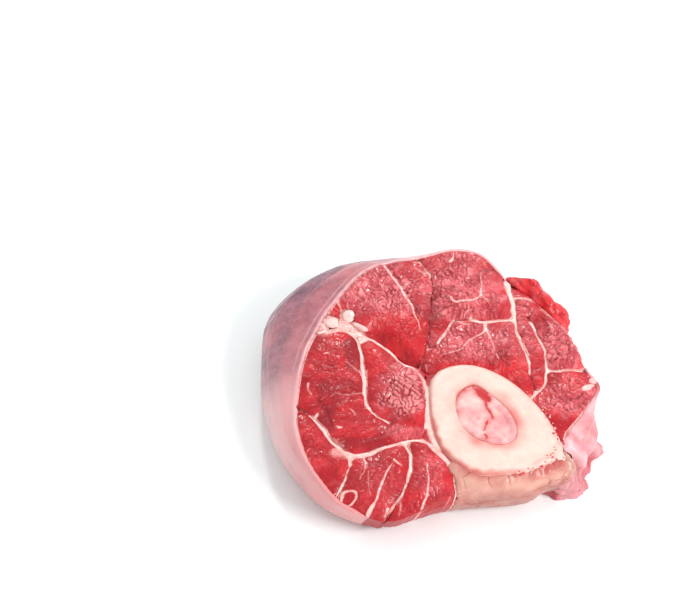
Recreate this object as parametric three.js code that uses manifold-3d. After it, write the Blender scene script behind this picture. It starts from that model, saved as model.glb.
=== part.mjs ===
// A thick slice sawn across a raw hind shank: a ring of bone round its marrow, the calf and
// shin muscles that lie round the bone, the pale sheets of connective tissue between them,
// tendons, and the silvery skin, fat and membrane that wrap the outside.
//
// Millimetres, +Z up. The slice lies on its lower sawn face. Every piece is laid out as it
// shows on the upper sawn face and carried down through the slice by one rule, place(), so
// that neighbours keep the same gap at every depth.
import * as THREE from 'three';
import { mergeVertices } from 'three/addons/utils/BufferGeometryUtils.js';
import Module from 'manifold-3d';

const wasm = await Module();
wasm.setup();

// Driving dimensions
const FACE_HEIGHT = 24;               // thickness of the slice at the layout's origin
const FACE_RISE_X = 0.05;             // the saw cut isn't quite parallel to the lower face
const FACE_RISE_Y = 0.12;
const LEAN = { x: -3.5, y: 6.5 };     // the shank crosses the slice at a slant: the lower face's shift
const CENTRE = { x: 4, y: -6 };       // middle of the slice, from which its outlines are swept
const BELLY_LEVEL = 0.5;              // depth of the widest outline, 0 at the lower face, 1 at the upper
const SHOULDER_POWER = 2.3;           // how late the side turns in towards the upper face
const HEEL_POWER = 2.6;               // and towards the lower one
const FLARE_POWER = 4;                // how soon the flare of the sides dies away inside the slice
const GAP = 0.3;                      // clearance between neighbouring pieces
const SKIN = 1.2;                     // thickness of the silvery skin and of the right-hand membrane
const CROWN = 1.3;                    // how far a muscle's face swells above the seams round it
const CROWN_REACH = 3.2;              // distance from a seam at which most of that is reached
const CROWN_SETTLE = 0.7;             // share of the swelling by which the whole face is lowered
const RIM_DROP = 0.7;                 // how far the face falls off at the rim
const RIM_DROP_SHARES = [0.93, 1.01]; // shares of the rim's distance over which it does
const BARE_DROP = 3.2;                // and where the front muscle bulges over its edge
const BARE_DROP_SHARES = [0.78, 1.02];
const BARE_DROP_POWER = 1.5;
const BARE_DIRECTION = -109;          // degrees, and half of the bulge's spread
const BARE_SPREAD = 22;
const SEAM_ROLL = 0.9;                // how much a seam opens up at the face
const SEAM_ROLL_LEVELS = [0.9, 1.1];  // depths between which it does
const CLEFT_MIDDLE = 0.72;            // where along its seam the cleft opens most, and how far it spreads
const CLEFT_SPREAD = 0.2;
const CLEFT_LEVELS = [0.4, 1];        // depths between which it opens
const BONE_PROUD = 0.4;               // the sawn bone stands this far above the shrunken meat
const MARROW_SUNK = 0.3;              // and the marrow this far below the bone
const MARROW_SWELL = 0.5;             // the marrow swells and sinks by this much, in three lobes
const MARROW_LOBES = 3;
const MARROW_TURN = 1;
const TWIG_DEPTH = 0.06;              // share of the depth that a fine twig of fat grooves
const TWIG_WIDTH = 0.3;               // width of such a groove at its bottom, and above the face
const TWIG_MOUTH = 1.4;
const SEGMENTS = 64;                  // sides of the slice's outline, the bone's, the marrow's and a tendon's
const BONE_SEGMENTS = 36;
const MARROW_SEGMENTS = 26;
const TENDON_SEGMENTS = 14;

// The three outlines of the slice, clockwise from the back
const RIM_OUTLINE = [
  [0, 40.5], [-11, 38.2], [-20, 34.5], [-29.5, 22.5], [-36.8, 8], [-40, -8], [-40, -21],
  [-36, -33.5], [-28.5, -43.6], [-21, -48.4], [-14, -49.8], [-7, -47.8], [1, -44.2], [8.5, -41],
  [15, -39.6], [22, -38.9], [29, -37], [34, -32.5], [38.5, -25.5], [44.5, -18], [48.8, -9.5],
  [45.8, -3], [43, 3.8], [38.5, 12.3], [31, 20.6], [25.6, 26.6], [21.8, 33.6], [16, 40], [8.4, 41.9],
];
const BELLY_OUTLINE = [
  [-4, 48.5], [-16, 48], [-29.5, 46.2], [-42, 38.2], [-49.6, 25.6], [-50.6, 10], [-49.3, -5], [-46, -18],
  [-39.5, -30.2], [-31, -40], [-21, -45.2], [-13.5, -46.4], [-5, -43.8], [5, -41], [15, -40.2],
  [27, -38.8], [37, -35], [43.5, -29.5], [47.6, -20], [47.8, -9], [45.5, 3], [42.5, 14], [36.5, 25],
  [28, 34.5], [17, 43], [7, 47.8],
];
const FLOOR_OUTLINE = [
  [-4, 47], [-18, 44.5], [-31, 37], [-40.5, 26], [-46, 12], [-47, -2], [-44, -13.5], [-37.5, -24.5],
  [-29, -32.5], [-19, -38.6], [-12.5, -40.4], [-4, -37.4], [6, -34.8], [18, -34], [30, -31.8],
  [41, -29.6], [46, -24.8], [48.6, -18.5], [49.6, -11], [46.5, 0], [44, 12], [38.5, 25], [28, 36], [14, 44.5],
];

// The bone's outside and its canal
const BONE_CENTRE = { x: 15.5, y: -18.5 };
const BONE_OUTLINE = [
  [0.2, -5], [3.6, -1.7], [9, -0.5], [14.2, -1.4], [20.7, -5], [26, -9.9], [30.6, -16], [33.8, -22],
  [35.1, -27.8], [32.6, -32.4], [27, -36.2], [19, -37.3], [12.4, -37.4], [7.2, -34], [2.8, -29.2],
  [0.4, -22.5], [-0.5, -14],
];
const CANAL_OUTLINE = [
  [7.2, -12], [9.9, -8.8], [12.8, -8.1], [16.6, -11.2], [20.7, -15.8], [23.3, -21.5], [23, -26.4],
  [18.8, -27.9], [12.4, -25.4], [8.2, -20.6],
];

// Tendons: the middle, the half widths and the turn of each
const TENDONS = [
  { name: 'tendon_round_outer', x: -28.6, y: 16.3, a: 1.7, b: 2.2, turn: 0.3 },
  { name: 'tendon_round_inner', x: -24.1, y: 18.3, a: 2.2, b: 2.3, turn: 0 },
  { name: 'tendon_flat', x: -20.9, y: 14.6, a: 2.7, b: 0.95, turn: -0.62 },
];

// Sheets of connective tissue that run right through the slice, each with its width at the
// start, middle and end. A share above zero in cleft opens the sheet into a deep cleft.
const SHEETS = {
  cleft: {
    points: [[-39.5, 10], [-35, 11.2], [-31, 12.2], [-28.3, 13.2], [-25.7, 13.3], [-23, 12.4],
      [-19, 10.8], [-15.3, 8.3], [-12.7, 5.7], [-10.2, 2.8], [-7.3, 0.1], [-4.4, -1.4], [1, -4]],
    widths: [0.6, 0.8, 0.8], cleft: 2.2,
  },
  bone_side: {
    points: [[-4.4, -1.4], [-1.9, -6.5], [-1.3, -12], [-1.2, -17], [-1.2, -21], [-1.4, -25.9]],
    widths: [0.9, 1.3, 3.2],
  },
  upper_crease: {
    points: [[-4.5, 43.5], [-3.2, 38.5], [-0.6, 34.5], [1, 31.5], [1.2, 26], [0.6, 19], [0, 12],
      [-1.2, 5.5], [-3.2, -1.6]],
    widths: [0.5, 0.5, 0.6],
  },
  middle_arch: {
    points: [[-1.3, 4.4], [1.4, 6.6], [3.6, 9.6], [5.4, 13], [7.2, 15.6], [10, 15.9], [13, 15.6],
      [17, 14.5], [21, 14.8], [25.4, 14.6]],
    widths: [1, 0.7, 1.1],
  },
  right_inner: {
    points: [[22.7, 33.5], [23.3, 28.5], [23.9, 24.5], [25, 21], [25.4, 15], [26.1, 10], [27.6, 5],
      [28.7, 0], [29.3, -5], [30, -11.6]],
    widths: [1.5, 1, 0.5],
  },
  right_outer: {
    points: [[28.9, 16], [30.4, 12.9], [31.8, 9.4], [33, 5], [33.7, 0.6], [34.1, -3.6]],
    widths: [0.5, 0.7, 0.9],
  },
  right_lower: {
    points: [[34.1, -3.4], [33.7, -6.6], [31.8, -9.4], [29, -12.4], [27, -14]],
    widths: [0.9, 0.8, 0.8],
  },
  right_side: {
    points: [[34.1, -3.5], [38, -3.8], [42, -3.5], [46, -3.7], [50, -3.9]],
    widths: [0.9, 0.6, 0.6],
  },
  left_inner: {
    points: [[-23.4, 12.6], [-21.4, 10.2], [-20.5, 6.6], [-19.9, 1.2], [-19.5, -4.8], [-19.3, -10.6],
      [-17.6, -15.4], [-15, -18.2], [-12.6, -19.5]],
    widths: [0.7, 1.4, 0.5],
  },
  lower_arch: {
    points: [[-43, -9.5], [-38.5, -12.6], [-34.9, -16.2], [-31.4, -20], [-29.4, -24], [-27.4, -27.4],
      [-24, -29.6], [-19.8, -29.9], [-14.8, -27.8], [-9.8, -26.5], [-5, -25.7], [-1.2, -25.9]],
    widths: [0.5, 1.3, 1.1],
  },
  front_right_edge: {
    points: [[-1.6, -25.6], [0.3, -29], [3.2, -32.6], [5, -36], [6.2, -40], [7.2, -46]],
    widths: [1.1, 0.7, 0.7],
  },
  lower_left_branch: {
    points: [[-24.2, -29.5], [-24, -33], [-24.9, -37.2], [-26.4, -40.4], [-28, -44], [-30, -48.5]],
    widths: [0.9, 0.8, 1],
  },
  front_inner: {
    points: [[-8.6, -26.3], [-6.8, -29], [-6.3, -33], [-7.1, -37.4], [-8.9, -42.6], [-11.4, -47],
      [-13.4, -51], [-14.6, -55]],
    widths: [1.3, 0.7, 0.6],
  },
  rind_end: {
    points: [[29, -27.2], [34, -27.4], [38, -27.5], [43, -27.8]],
    widths: [0.6, 0.6, 0.6],
  },
};

// Fine twigs of fat, which only groove the face
const TWIGS = [
  [[-14.6, 37.6], [-12.2, 34.6], [-9.3, 29.5], [-7, 24.8], [-4.6, 19.3], [-2.8, 12.6]],
  [[16.8, 14.4], [16.6, 12.4], [14.6, 10.3], [11.7, 8.8], [9, 6], [5.6, 4.2], [2.6, 3.6]],
  [[16.4, 11.6], [17.6, 8.4], [19, 4], [19.8, 0.8]],
  [[6.6, 22.6], [10, 21.8], [13.6, 22.6], [15.5, 25], [15.9, 27.4], [15.2, 30]],
  [[-11.9, -33.3], [-13.8, -36.4], [-15.2, -40.4], [-17.2, -45], [-18.6, -51]],
  [[-2.3, -33.2], [-1.9, -38], [-2.1, -43], [-3.6, -49]],
];

// The muscles and the rind, each with a point that lies well inside it on the upper face
const MUSCLES = [
  { name: 'muscle_upper_left', at: [-14, 23], colour: 0xc9464c },
  { name: 'muscle_upper', at: [11, 27], colour: 0xcf5058 },
  { name: 'muscle_middle', at: [14, 6], colour: 0xcd5258 },
  { name: 'muscle_right', at: [35, 7], colour: 0xcf4f54 },
  { name: 'muscle_lower_right', at: [40, -13], colour: 0xc9474c },
  { name: 'muscle_left', at: [-20, -5], colour: 0xbe3c43 },
  { name: 'muscle_lower_left', at: [-32, -29], colour: 0xc23c40 },
  { name: 'muscle_front_left', at: [-17, -38], colour: 0xc23c40 },
  { name: 'muscle_front_right', at: [-2, -36], colour: 0xc5424a },
  { name: 'rind_under_bone', at: [17, -38.6], colour: 0xe6b3a2 },
];

// Small helpers
const CURVE_SAMPLES = 12;             // points for each given point of an outline
const SEAM_SAMPLES = 40;              // points along each sheet
const MERGE_DISTANCE = 1e-4;
const SMALLEST_MUSCLE = 60;           // cubic millimetres
const { lerp, clamp, smoothstep, degToRad } = THREE.MathUtils;
const curveThrough = (points, closed) => new THREE.CatmullRomCurve3(
  points.map(([x, y]) => new THREE.Vector3(x, y, 0)), closed, 'centripetal');
const levelCentre = (level) => ({
  x: CENTRE.x + LEAN.x * (1 - level),
  y: CENTRE.y + LEAN.y * (1 - level),
});
const bump = (value, middle, half) => Math.exp(-(((value - middle) / half) ** 2));

// An outline as its distance from a centre in any direction
function polarOutline(points, centre) {
  const samples = curveThrough(points, true).getPoints(CURVE_SAMPLES * points.length).map((point) => ({
    angle: Math.atan2(point.y - centre.y, point.x - centre.x),
    radius: Math.hypot(point.x - centre.x, point.y - centre.y),
  })).sort((one, other) => one.angle - other.angle);
  const last = samples[samples.length - 1];
  samples.unshift({ angle: last.angle - 2 * Math.PI, radius: last.radius });
  samples.push({ angle: samples[1].angle + 2 * Math.PI, radius: samples[1].radius });
  return (angle) => {
    const after = samples.findIndex((sample) => sample.angle >= angle);
    const high = samples[Math.max(after, 1)];
    const low = samples[Math.max(after, 1) - 1];
    const share = (angle - low.angle) / Math.max(high.angle - low.angle, 1e-9);
    return lerp(low.radius, high.radius, clamp(share, 0, 1));
  };
}

const rimRadius = polarOutline(RIM_OUTLINE, levelCentre(1));
const bellyRadius = polarOutline(BELLY_OUTLINE, levelCentre(BELLY_LEVEL));
const floorRadius = polarOutline(FLOOR_OUTLINE, levelCentre(0));

// How far a direction lies inside a stretch of the outline, from 0 outside to 1 well inside. The
// membrane's skirt reaches some sides further round at the lower face.
const SIDE = 2 * Math.PI / SEGMENTS;
const SKIN_STRETCH = { from: 11 * SIDE, to: 43 * SIDE };
const MEMBRANE_STRETCH = { from: -6 * SIDE, to: SIDE, skirt: 3 };
const STRETCH_FADE = 0.8 * SIDE;
const stretchStart = (stretch, level) => stretch.from - SIDE * Math.round((stretch.skirt ?? 0) * (1 - level));
function insideStretch(angle, stretch, level) {
  const from = stretchStart(stretch, level);
  const middle = (from + stretch.to) / 2;
  const offset = Math.abs(Math.atan2(Math.sin(angle - middle), Math.cos(angle - middle)));
  const half = (stretch.to - from) / 2;
  return 1 - smoothstep(offset, half - STRETCH_FADE, half + STRETCH_FADE);
}

// Folds of the loose membrane on the right, deepest near the lower face
const FOLD_DEPTH = 1.5;
const FOLDS_PER_TURN = 18;
const FOLD_SLANT = 2.5;
const FOLD_FADE = 0.7;
const FOLD_STRETCH = { from: degToRad(-52), to: degToRad(8) };
function folds(angle, level) {
  const reach = insideStretch(angle, FOLD_STRETCH, level);
  return FOLD_DEPTH * reach * Math.sin(FOLDS_PER_TURN * angle + FOLD_SLANT * level) * (1 - level) ** FOLD_FADE;
}

// Distance of the slice's outside from its centre line, by direction and depth
function outerRadius(angle, level) {
  const belly = bellyRadius(angle);
  const above = clamp((level - BELLY_LEVEL) / (1 - BELLY_LEVEL), 0, 1);
  const below = clamp((BELLY_LEVEL - level) / BELLY_LEVEL, 0, 1);
  const shoulder = (rimRadius(angle) - belly) * above ** SHOULDER_POWER;
  const heel = (floorRadius(angle) - belly) * below ** HEEL_POWER;
  return belly + shoulder + heel + folds(angle, level);
}

// Points along every sheet, from which the swelling of the muscles is measured
const seamPoints = Object.values(SHEETS).flatMap((sheet) => (
  curveThrough(sheet.points, false).getPoints(SEAM_SAMPLES)));
function seamDistance(x, y) {
  return Math.min(...seamPoints.map((point) => Math.hypot(point.x - x, point.y - y)));
}

const sawnPlane = (x, y) => FACE_HEIGHT + FACE_RISE_X * x + FACE_RISE_Y * y;

// Height of the upper face, with the muscles swollen between the seams and the rim rolled off
function faceHeight(x, y) {
  const angle = Math.atan2(y - CENTRE.y, x - CENTRE.x);
  const share = Math.hypot(x - CENTRE.x, y - CENTRE.y) / rimRadius(angle);
  const crown = CROWN * (1 - Math.exp(-seamDistance(x, y) / CROWN_REACH));
  const bareSide = bump(angle, degToRad(BARE_DIRECTION), degToRad(BARE_SPREAD));
  const bare = BARE_DROP * bareSide * smoothstep(share, ...BARE_DROP_SHARES) ** BARE_DROP_POWER;
  const roll = RIM_DROP * smoothstep(share, ...RIM_DROP_SHARES);
  return sawnPlane(x, y) - CROWN_SETTLE * CROWN + crown - roll - bare;
}

// Where a point of the upper face's layout lies at another depth of the slice
function place(x, y, level, height = sawnPlane(x, y)) {
  const angle = Math.atan2(y - CENTRE.y, x - CENTRE.x);
  const distance = Math.max(Math.hypot(x - CENTRE.x, y - CENTRE.y), 1e-6);
  const rim = outerRadius(angle, 1);
  const flare = (outerRadius(angle, clamp(level, 0, 1)) - rim) * (distance / rim) ** FLARE_POWER;
  const centre = levelCentre(level);
  return new THREE.Vector3(
    centre.x + Math.cos(angle) * (distance + flare),
    centre.y + Math.sin(angle) * (distance + flare),
    level * height,
  );
}

// Move every vertex of a geometry by a rule
function warp(geometry, rule) {
  const position = geometry.attributes.position;
  const vertex = new THREE.Vector3();
  for (let i = 0; i < position.count; i += 1) {
    vertex.fromBufferAttribute(position, i);
    const moved = rule(vertex);
    position.setXYZ(i, moved.x, moved.y, moved.z);
  }
  return geometry;
}

// Sweep a profile of [share of the radius, depth] round the slice by a rule on both and the angle
function sweep(profile, segments, rule) {
  const points = profile.map(([share, level]) => new THREE.Vector2(share, level));
  return warp(new THREE.LatheGeometry(points, segments), (vertex) => (
    rule(Math.hypot(vertex.x, vertex.z), vertex.y, Math.atan2(vertex.z, vertex.x))));
}

// A closed geometry as a solid, turned the right way out
function solid(geometry) {
  geometry.deleteAttribute('normal');
  geometry.deleteAttribute('uv');
  const merged = mergeVertices(geometry, MERGE_DISTANCE);
  const vertices = merged.attributes.position.array;
  const corner = (i) => new THREE.Vector3().fromArray(vertices, 3 * i);
  let triangles = [];
  let volume = 0;
  for (let i = 0; i < merged.index.count; i += 3) {
    const [a, b, c] = [0, 1, 2].map((k) => merged.index.getX(i + k));
    if (a !== b && b !== c && c !== a) {
      triangles.push(a, b, c);
      volume += corner(a).dot(corner(b).cross(corner(c)));
    }
  }
  if (volume < 0) triangles = triangles.reverse();
  return new wasm.Manifold(new wasm.Mesh({
    numProp: 3,
    vertProperties: new Float32Array(vertices),
    triVerts: new Uint32Array(triangles),
  }));
}

const join = (solids) => solids.reduce((whole, piece) => whole.add(piece));

// The whole flesh, set back where skin or membrane covers it
const WALL_LEVELS = [0, 0.12, 0.3, 0.5, 0.72, 0.88, 1];
const FACE_SHARES = [0.965, 0.88, 0.77, 0.64, 0.5, 0.32, 0];
const BELOW_SHARE = 0.6;              // ring of corners on the lower face
function fleshInset(angle, level) {
  const [skin, membrane] = [SKIN_STRETCH, MEMBRANE_STRETCH].map((stretch) => insideStretch(angle, stretch, level));
  const covered = Math.max(skin, membrane);
  return (SKIN + GAP) * covered;
}
function makeSlice(grow) {
  const profile = [[0, 0], [BELOW_SHARE, 0], ...WALL_LEVELS.map((level) => [1, level]),
    ...FACE_SHARES.map((share) => [share, 1])];
  return solid(sweep(profile, SEGMENTS, (share, level, angle) => {
    const centre = levelCentre(level);
    const radius = share * (outerRadius(angle, level) + grow(angle, level));
    const rim = share * (outerRadius(angle, 1) + grow(angle, 1));
    const height = faceHeight(CENTRE.x + rim * Math.cos(angle), CENTRE.y + rim * Math.sin(angle));
    return new THREE.Vector3(
      centre.x + radius * Math.cos(angle),
      centre.y + radius * Math.sin(angle),
      level * height,
    );
  }));
}

// A wall that follows a curve of the layout through the slice, from one depth to another
const BELOW_FLOOR = -0.01;            // depths at which a cutting shape starts and ends
const ABOVE_FACE = 1.12;
const THIRDS = [0.33, 0.66];
const SHEET_LEVELS = [0.006, ...THIRDS];
const SLOT_LEVELS = [BELOW_FLOOR, ...THIRDS, 0.955];
const SHEET_STEP = 4.4;
const SHEET_SUNK = 0.15;
function makeWall(points, levels, widthAt, topLevel, reach) {
  const curve = curveThrough(points, false);
  const steps = Math.max(2, Math.round(curve.getLength() / SHEET_STEP));
  const box = new THREE.BoxGeometry(1, 1, 1, steps, 1, levels.length);
  return solid(warp(box, (vertex) => {
    const along = clamp(vertex.x + 0.5, 0, 1);
    const row = Math.round((vertex.z + 0.5) * levels.length);
    const point = curve.getPointAt(along);
    const tangent = curve.getTangentAt(along);
    if (along === 0) point.addScaledVector(tangent, -reach);
    if (along === 1) point.addScaledVector(tangent, reach);
    const side = vertex.y * widthAt(along, levels[row] ?? ABOVE_FACE);
    const [x, y] = [point.x - tangent.y * side, point.y + tangent.x * side];
    return place(x, y, levels[row] ?? topLevel(x, y));
  }));
}

// A sheet's width along its run, a little wider in the middle or at the ends as drawn
function sheetWidth(sheet, along) {
  const [start, middle, end] = sheet.widths;
  return along < 0.5 ? lerp(start, middle, 2 * along) : lerp(middle, end, 2 * along - 1);
}
function makeSheet(sheet) {
  const topLevel = (x, y) => (faceHeight(x, y) - SHEET_SUNK) / sawnPlane(x, y);
  return makeWall(sheet.points, SHEET_LEVELS, (along) => sheetWidth(sheet, along), topLevel, 0);
}
function makeSheetSlot(sheet) {
  return makeWall(sheet.points, SLOT_LEVELS, (along, level) => {
    const roll = SEAM_ROLL * smoothstep(level, ...SEAM_ROLL_LEVELS);
    const open = (sheet.cleft ?? 0) * bump(along, CLEFT_MIDDLE, CLEFT_SPREAD) * smoothstep(level, ...CLEFT_LEVELS);
    return sheetWidth(sheet, along) + 2 * GAP + roll + open;
  }, () => ABOVE_FACE, GAP);
}
function makeTwigGroove(points) {
  const bottom = 1 - TWIG_DEPTH;
  return makeWall(points, [bottom], (along, level) => (level > 1 ? TWIG_MOUTH : TWIG_WIDTH), () => ABOVE_FACE, 0);
}

// Bone, marrow and the space they need
const boneRadius = polarOutline(BONE_OUTLINE, BONE_CENTRE);
const canalRadius = polarOutline(CANAL_OUTLINE, BONE_CENTRE);
const boneHeight = (x, y) => sawnPlane(x, y) + BONE_PROUD;
function bonePoint(radius, level, angle, drop = 0) {
  const x = BONE_CENTRE.x + radius * Math.cos(angle);
  const y = BONE_CENTRE.y + radius * Math.sin(angle);
  return place(x, y, level, boneHeight(x, y) - drop);
}
const BONE_LEVELS = [0.35, 0.7];
const BONE_EDGE = 0.97;               // depth at which the bone's rounded edge starts, and its share of the width
const BONE_EDGE_SHARE = 0.06;
function makeBone() {
  const levels = [0, ...BONE_LEVELS, BONE_EDGE];
  const profile = [...levels.map((level) => [1, level]), [1 - BONE_EDGE_SHARE, 1], [BONE_EDGE_SHARE, 1],
    ...[...levels].reverse().map((level) => [0, level]), [1, 0]];
  const points = profile.map(([share, level]) => [share + 1, level]);
  return solid(sweep(points, BONE_SEGMENTS, (share, level, angle) => (
    bonePoint(lerp(canalRadius(angle), boneRadius(angle), share - 1), level, angle))));
}
const MARROW_EDGE = 0.985;
const MARROW_SHARES = [0.9, 0.5, 0];
function makeMarrow() {
  const levels = [0, ...BONE_LEVELS, MARROW_EDGE];
  const profile = [[0, 0], ...levels.map((level) => [1, level]), ...MARROW_SHARES.map((share) => [share, 1])];
  return solid(sweep(profile, MARROW_SEGMENTS, (share, level, angle) => {
    const swell = MARROW_SWELL * Math.sin(MARROW_LOBES * angle + MARROW_TURN) * share * (1 - share);
    return bonePoint(share * (canalRadius(angle) - GAP), level, angle, MARROW_SUNK - swell);
  }));
}
function makeBoneSpace() {
  const levels = [BELOW_FLOOR, ...BONE_LEVELS, BONE_EDGE, ABOVE_FACE];
  const profile = [[0, BELOW_FLOOR], ...levels.map((level) => [1, level]), [0, ABOVE_FACE]];
  return solid(sweep(profile, BONE_SEGMENTS, (share, level, angle) => (
    bonePoint(share * (boneRadius(angle) + GAP), level, angle))));
}

// A tendon is an oval cord through the slice, with a domed end
function makeTendon(tendon, extra, profile) {
  return solid(sweep(profile, TENDON_SEGMENTS, (share, level, angle) => {
    const along = share * (tendon.a + extra) * Math.cos(angle);
    const across = share * (tendon.b + extra) * Math.sin(angle);
    const x = tendon.x + along * Math.cos(tendon.turn) - across * Math.sin(tendon.turn);
    const y = tendon.y + along * Math.sin(tendon.turn) + across * Math.cos(tendon.turn);
    return place(x, y, level);
  }));
}
const TENDON_EDGE = 0.95;
const TENDON_DOME = [[0.8, 1.015], [0, 1.04]];
const upright = (levels) => levels.map((level) => [1, level]);
const TENDON_PROFILE = [[0, 0], ...upright([0, ...THIRDS, TENDON_EDGE]), ...TENDON_DOME];
const TENDON_SPACE = [[0, BELOW_FLOOR], ...upright([BELOW_FLOOR, ...THIRDS, TENDON_EDGE, 1, ABOVE_FACE]),
  [0, ABOVE_FACE]];

// A band of skin or membrane that wraps a stretch of the outside
function makeBand(stretch) {
  const steps = Math.round((stretch.to - stretchStart(stretch, 0)) / SIDE);
  const rows = WALL_LEVELS.length - 1;
  const box = new THREE.BoxGeometry(1, 1, 1, steps, 1, rows);
  return solid(warp(box, (vertex) => {
    const level = WALL_LEVELS[Math.round((vertex.z + 0.5) * rows)];
    const angle = Math.max(lerp(stretchStart(stretch, 0), stretch.to, vertex.x + 0.5), stretchStart(stretch, level));
    const turned = Math.atan2(Math.sin(angle), Math.cos(angle));
    const radius = outerRadius(turned, level) - (vertex.y > 0 ? 0 : fleshInset(turned, level) - GAP);
    const rim = outerRadius(turned, 1) - fleshInset(turned, 1);
    const height = faceHeight(CENTRE.x + rim * Math.cos(turned), CENTRE.y + rim * Math.sin(turned));
    const centre = levelCentre(level);
    return new THREE.Vector3(
      centre.x + radius * Math.cos(turned),
      centre.y + radius * Math.sin(turned),
      level * height,
    );
  }));
}

// The loose flap of muscle that hangs at the back right, lumpy all over
const FLAP_PATH = [[20.9, 32.6], [26.6, 32.2], [33, 28.2], [37.4, 21.4], [38.4, 13.4]];
const FLAP_HALF_WIDTH = 4.8;
const FLAP_HALF_HEIGHT = 7.6;
const FLAP_MIDDLE = 18.2;
const FLAP_FALL = 2.5;                // how much lower its far end hangs
const FLAP_BLUNTNESS = 0.75;
const FLAP_LUMPS = [{ height: 0.13, along: 17, around: 2 }, { height: 0.1, along: -9, around: 4 }];
function makeFlap() {
  const path = curveThrough(FLAP_PATH, false);
  return solid(warp(new THREE.SphereGeometry(1, 14, 18), (vertex) => {
    const along = clamp(0.5 + Math.asin(clamp(vertex.y, -1, 1)) / Math.PI, 0, 1);
    const taper = Math.sqrt(Math.max(0, 1 - (2 * along - 1) ** 2)) ** FLAP_BLUNTNESS;
    const around = Math.atan2(vertex.z, vertex.x);
    const lumps = FLAP_LUMPS.reduce((sum, lump) => (
      sum + lump.height * Math.sin(lump.along * along + lump.around * around)), 1);
    const point = path.getPointAt(along);
    const tangent = path.getTangentAt(along);
    const out = FLAP_HALF_WIDTH * taper * lumps * Math.cos(around);
    return new THREE.Vector3(
      point.x + tangent.y * -out,
      point.y + tangent.x * out,
      FLAP_MIDDLE + FLAP_FALL * (0.5 - along) + FLAP_HALF_HEIGHT * taper * lumps * Math.sin(around),
    );
  }));
}

// Cutting the slice up
const flesh = makeSlice((angle, level) => -fleshInset(angle, level));
const fleshSpace = makeSlice((angle, level) => GAP - fleshInset(angle, level));
const boneSpace = makeBoneSpace();
const tendonSpaces = join(TENDONS.map((tendon) => makeTendon(tendon, GAP, TENDON_SPACE)));
const hollows = boneSpace.add(tendonSpaces);
const web = join(Object.values(SHEETS).map(makeSheet)).intersect(flesh).subtract(hollows);
const slots = join(Object.values(SHEETS).map(makeSheetSlot));
const grooves = join(TWIGS.map(makeTwigGroove));
const meats = flesh.subtract(slots).subtract(hollows).subtract(grooves).decompose();

// The piece of a cut-up solid that lies nearest a point of the layout
function centreOf(piece) {
  const { min, max } = piece.boundingBox();
  return new THREE.Vector3((min[0] + max[0]) / 2, (min[1] + max[1]) / 2, (min[2] + max[2]) / 2);
}
function pieceAt(pieces, [x, y]) {
  const target = place(x, y, 0.5);
  const large = pieces.filter((piece) => piece.volume() > SMALLEST_MUSCLE);
  return large.reduce((best, piece) => (
    centreOf(piece).distanceTo(target) < centreOf(best).distanceTo(target) ? piece : best));
}
const largest = (pieces) => pieces.reduce((best, piece) => (piece.volume() > best.volume() ? piece : best));

// The finished group
const shank = new THREE.Group();
function addPiece(name, piece, colour, roughness) {
  const { vertProperties, triVerts } = piece.getMesh();
  const geometry = new THREE.BufferGeometry();
  geometry.setAttribute('position', new THREE.BufferAttribute(new Float32Array(vertProperties), 3));
  geometry.setIndex(new THREE.BufferAttribute(new Uint32Array(triVerts), 1));
  const material = new THREE.MeshStandardMaterial({ color: colour, roughness, metalness: 0 });
  const mesh = new THREE.Mesh(geometry, material);
  mesh.name = name;
  shank.add(mesh);
}

addPiece('bone', makeBone(), 0xf3dccb, 0.55);
addPiece('marrow', makeMarrow(), 0xeec0bd, 0.4);
for (const { name, at, colour } of MUSCLES) addPiece(name, pieceAt(meats, at), colour, 0.4);
addPiece('connective_sheets', largest(web.decompose()), 0xf2ccc6, 0.4);
for (const tendon of TENDONS) {
  addPiece(tendon.name, makeTendon(tendon, 0, TENDON_PROFILE), 0xf4dcd8, 0.35);
}
addPiece('silver_skin', makeBand(SKIN_STRETCH), 0xc9a0b0, 0.35);
const membrane = makeBand(MEMBRANE_STRETCH).subtract(fleshSpace).subtract(boneSpace);
addPiece('right_membrane', largest(membrane.decompose()), 0xe0a9a9, 0.4);
addPiece('loose_flap', makeFlap().subtract(makeSlice(() => GAP)), 0xb83236, 0.4);

// The origin is the middle of the slice's lower face
const bounds = new THREE.Box3().setFromObject(shank);
shank.position.set(-(bounds.min.x + bounds.max.x) / 2, -(bounds.min.y + bounds.max.y) / 2, -bounds.min.z);

export default shank;
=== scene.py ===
# %% [markdown]
# # One slice of raw mutton shank
# A butcher saws a hind shank across, bone and all. The cut face shows a ring of bone with its
# marrow, the calf and shin muscles round it, and the pale connective sheets that part them.
# The slice comes in as plain solids that already have the right shape and size. This lesson
# gives each of them a wet, living surface and leaves its place alone.

# %% Load the solids
import math

import bmesh
import bpy
import numpy as np
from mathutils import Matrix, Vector
from mathutils.bvhtree import BVHTree


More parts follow.
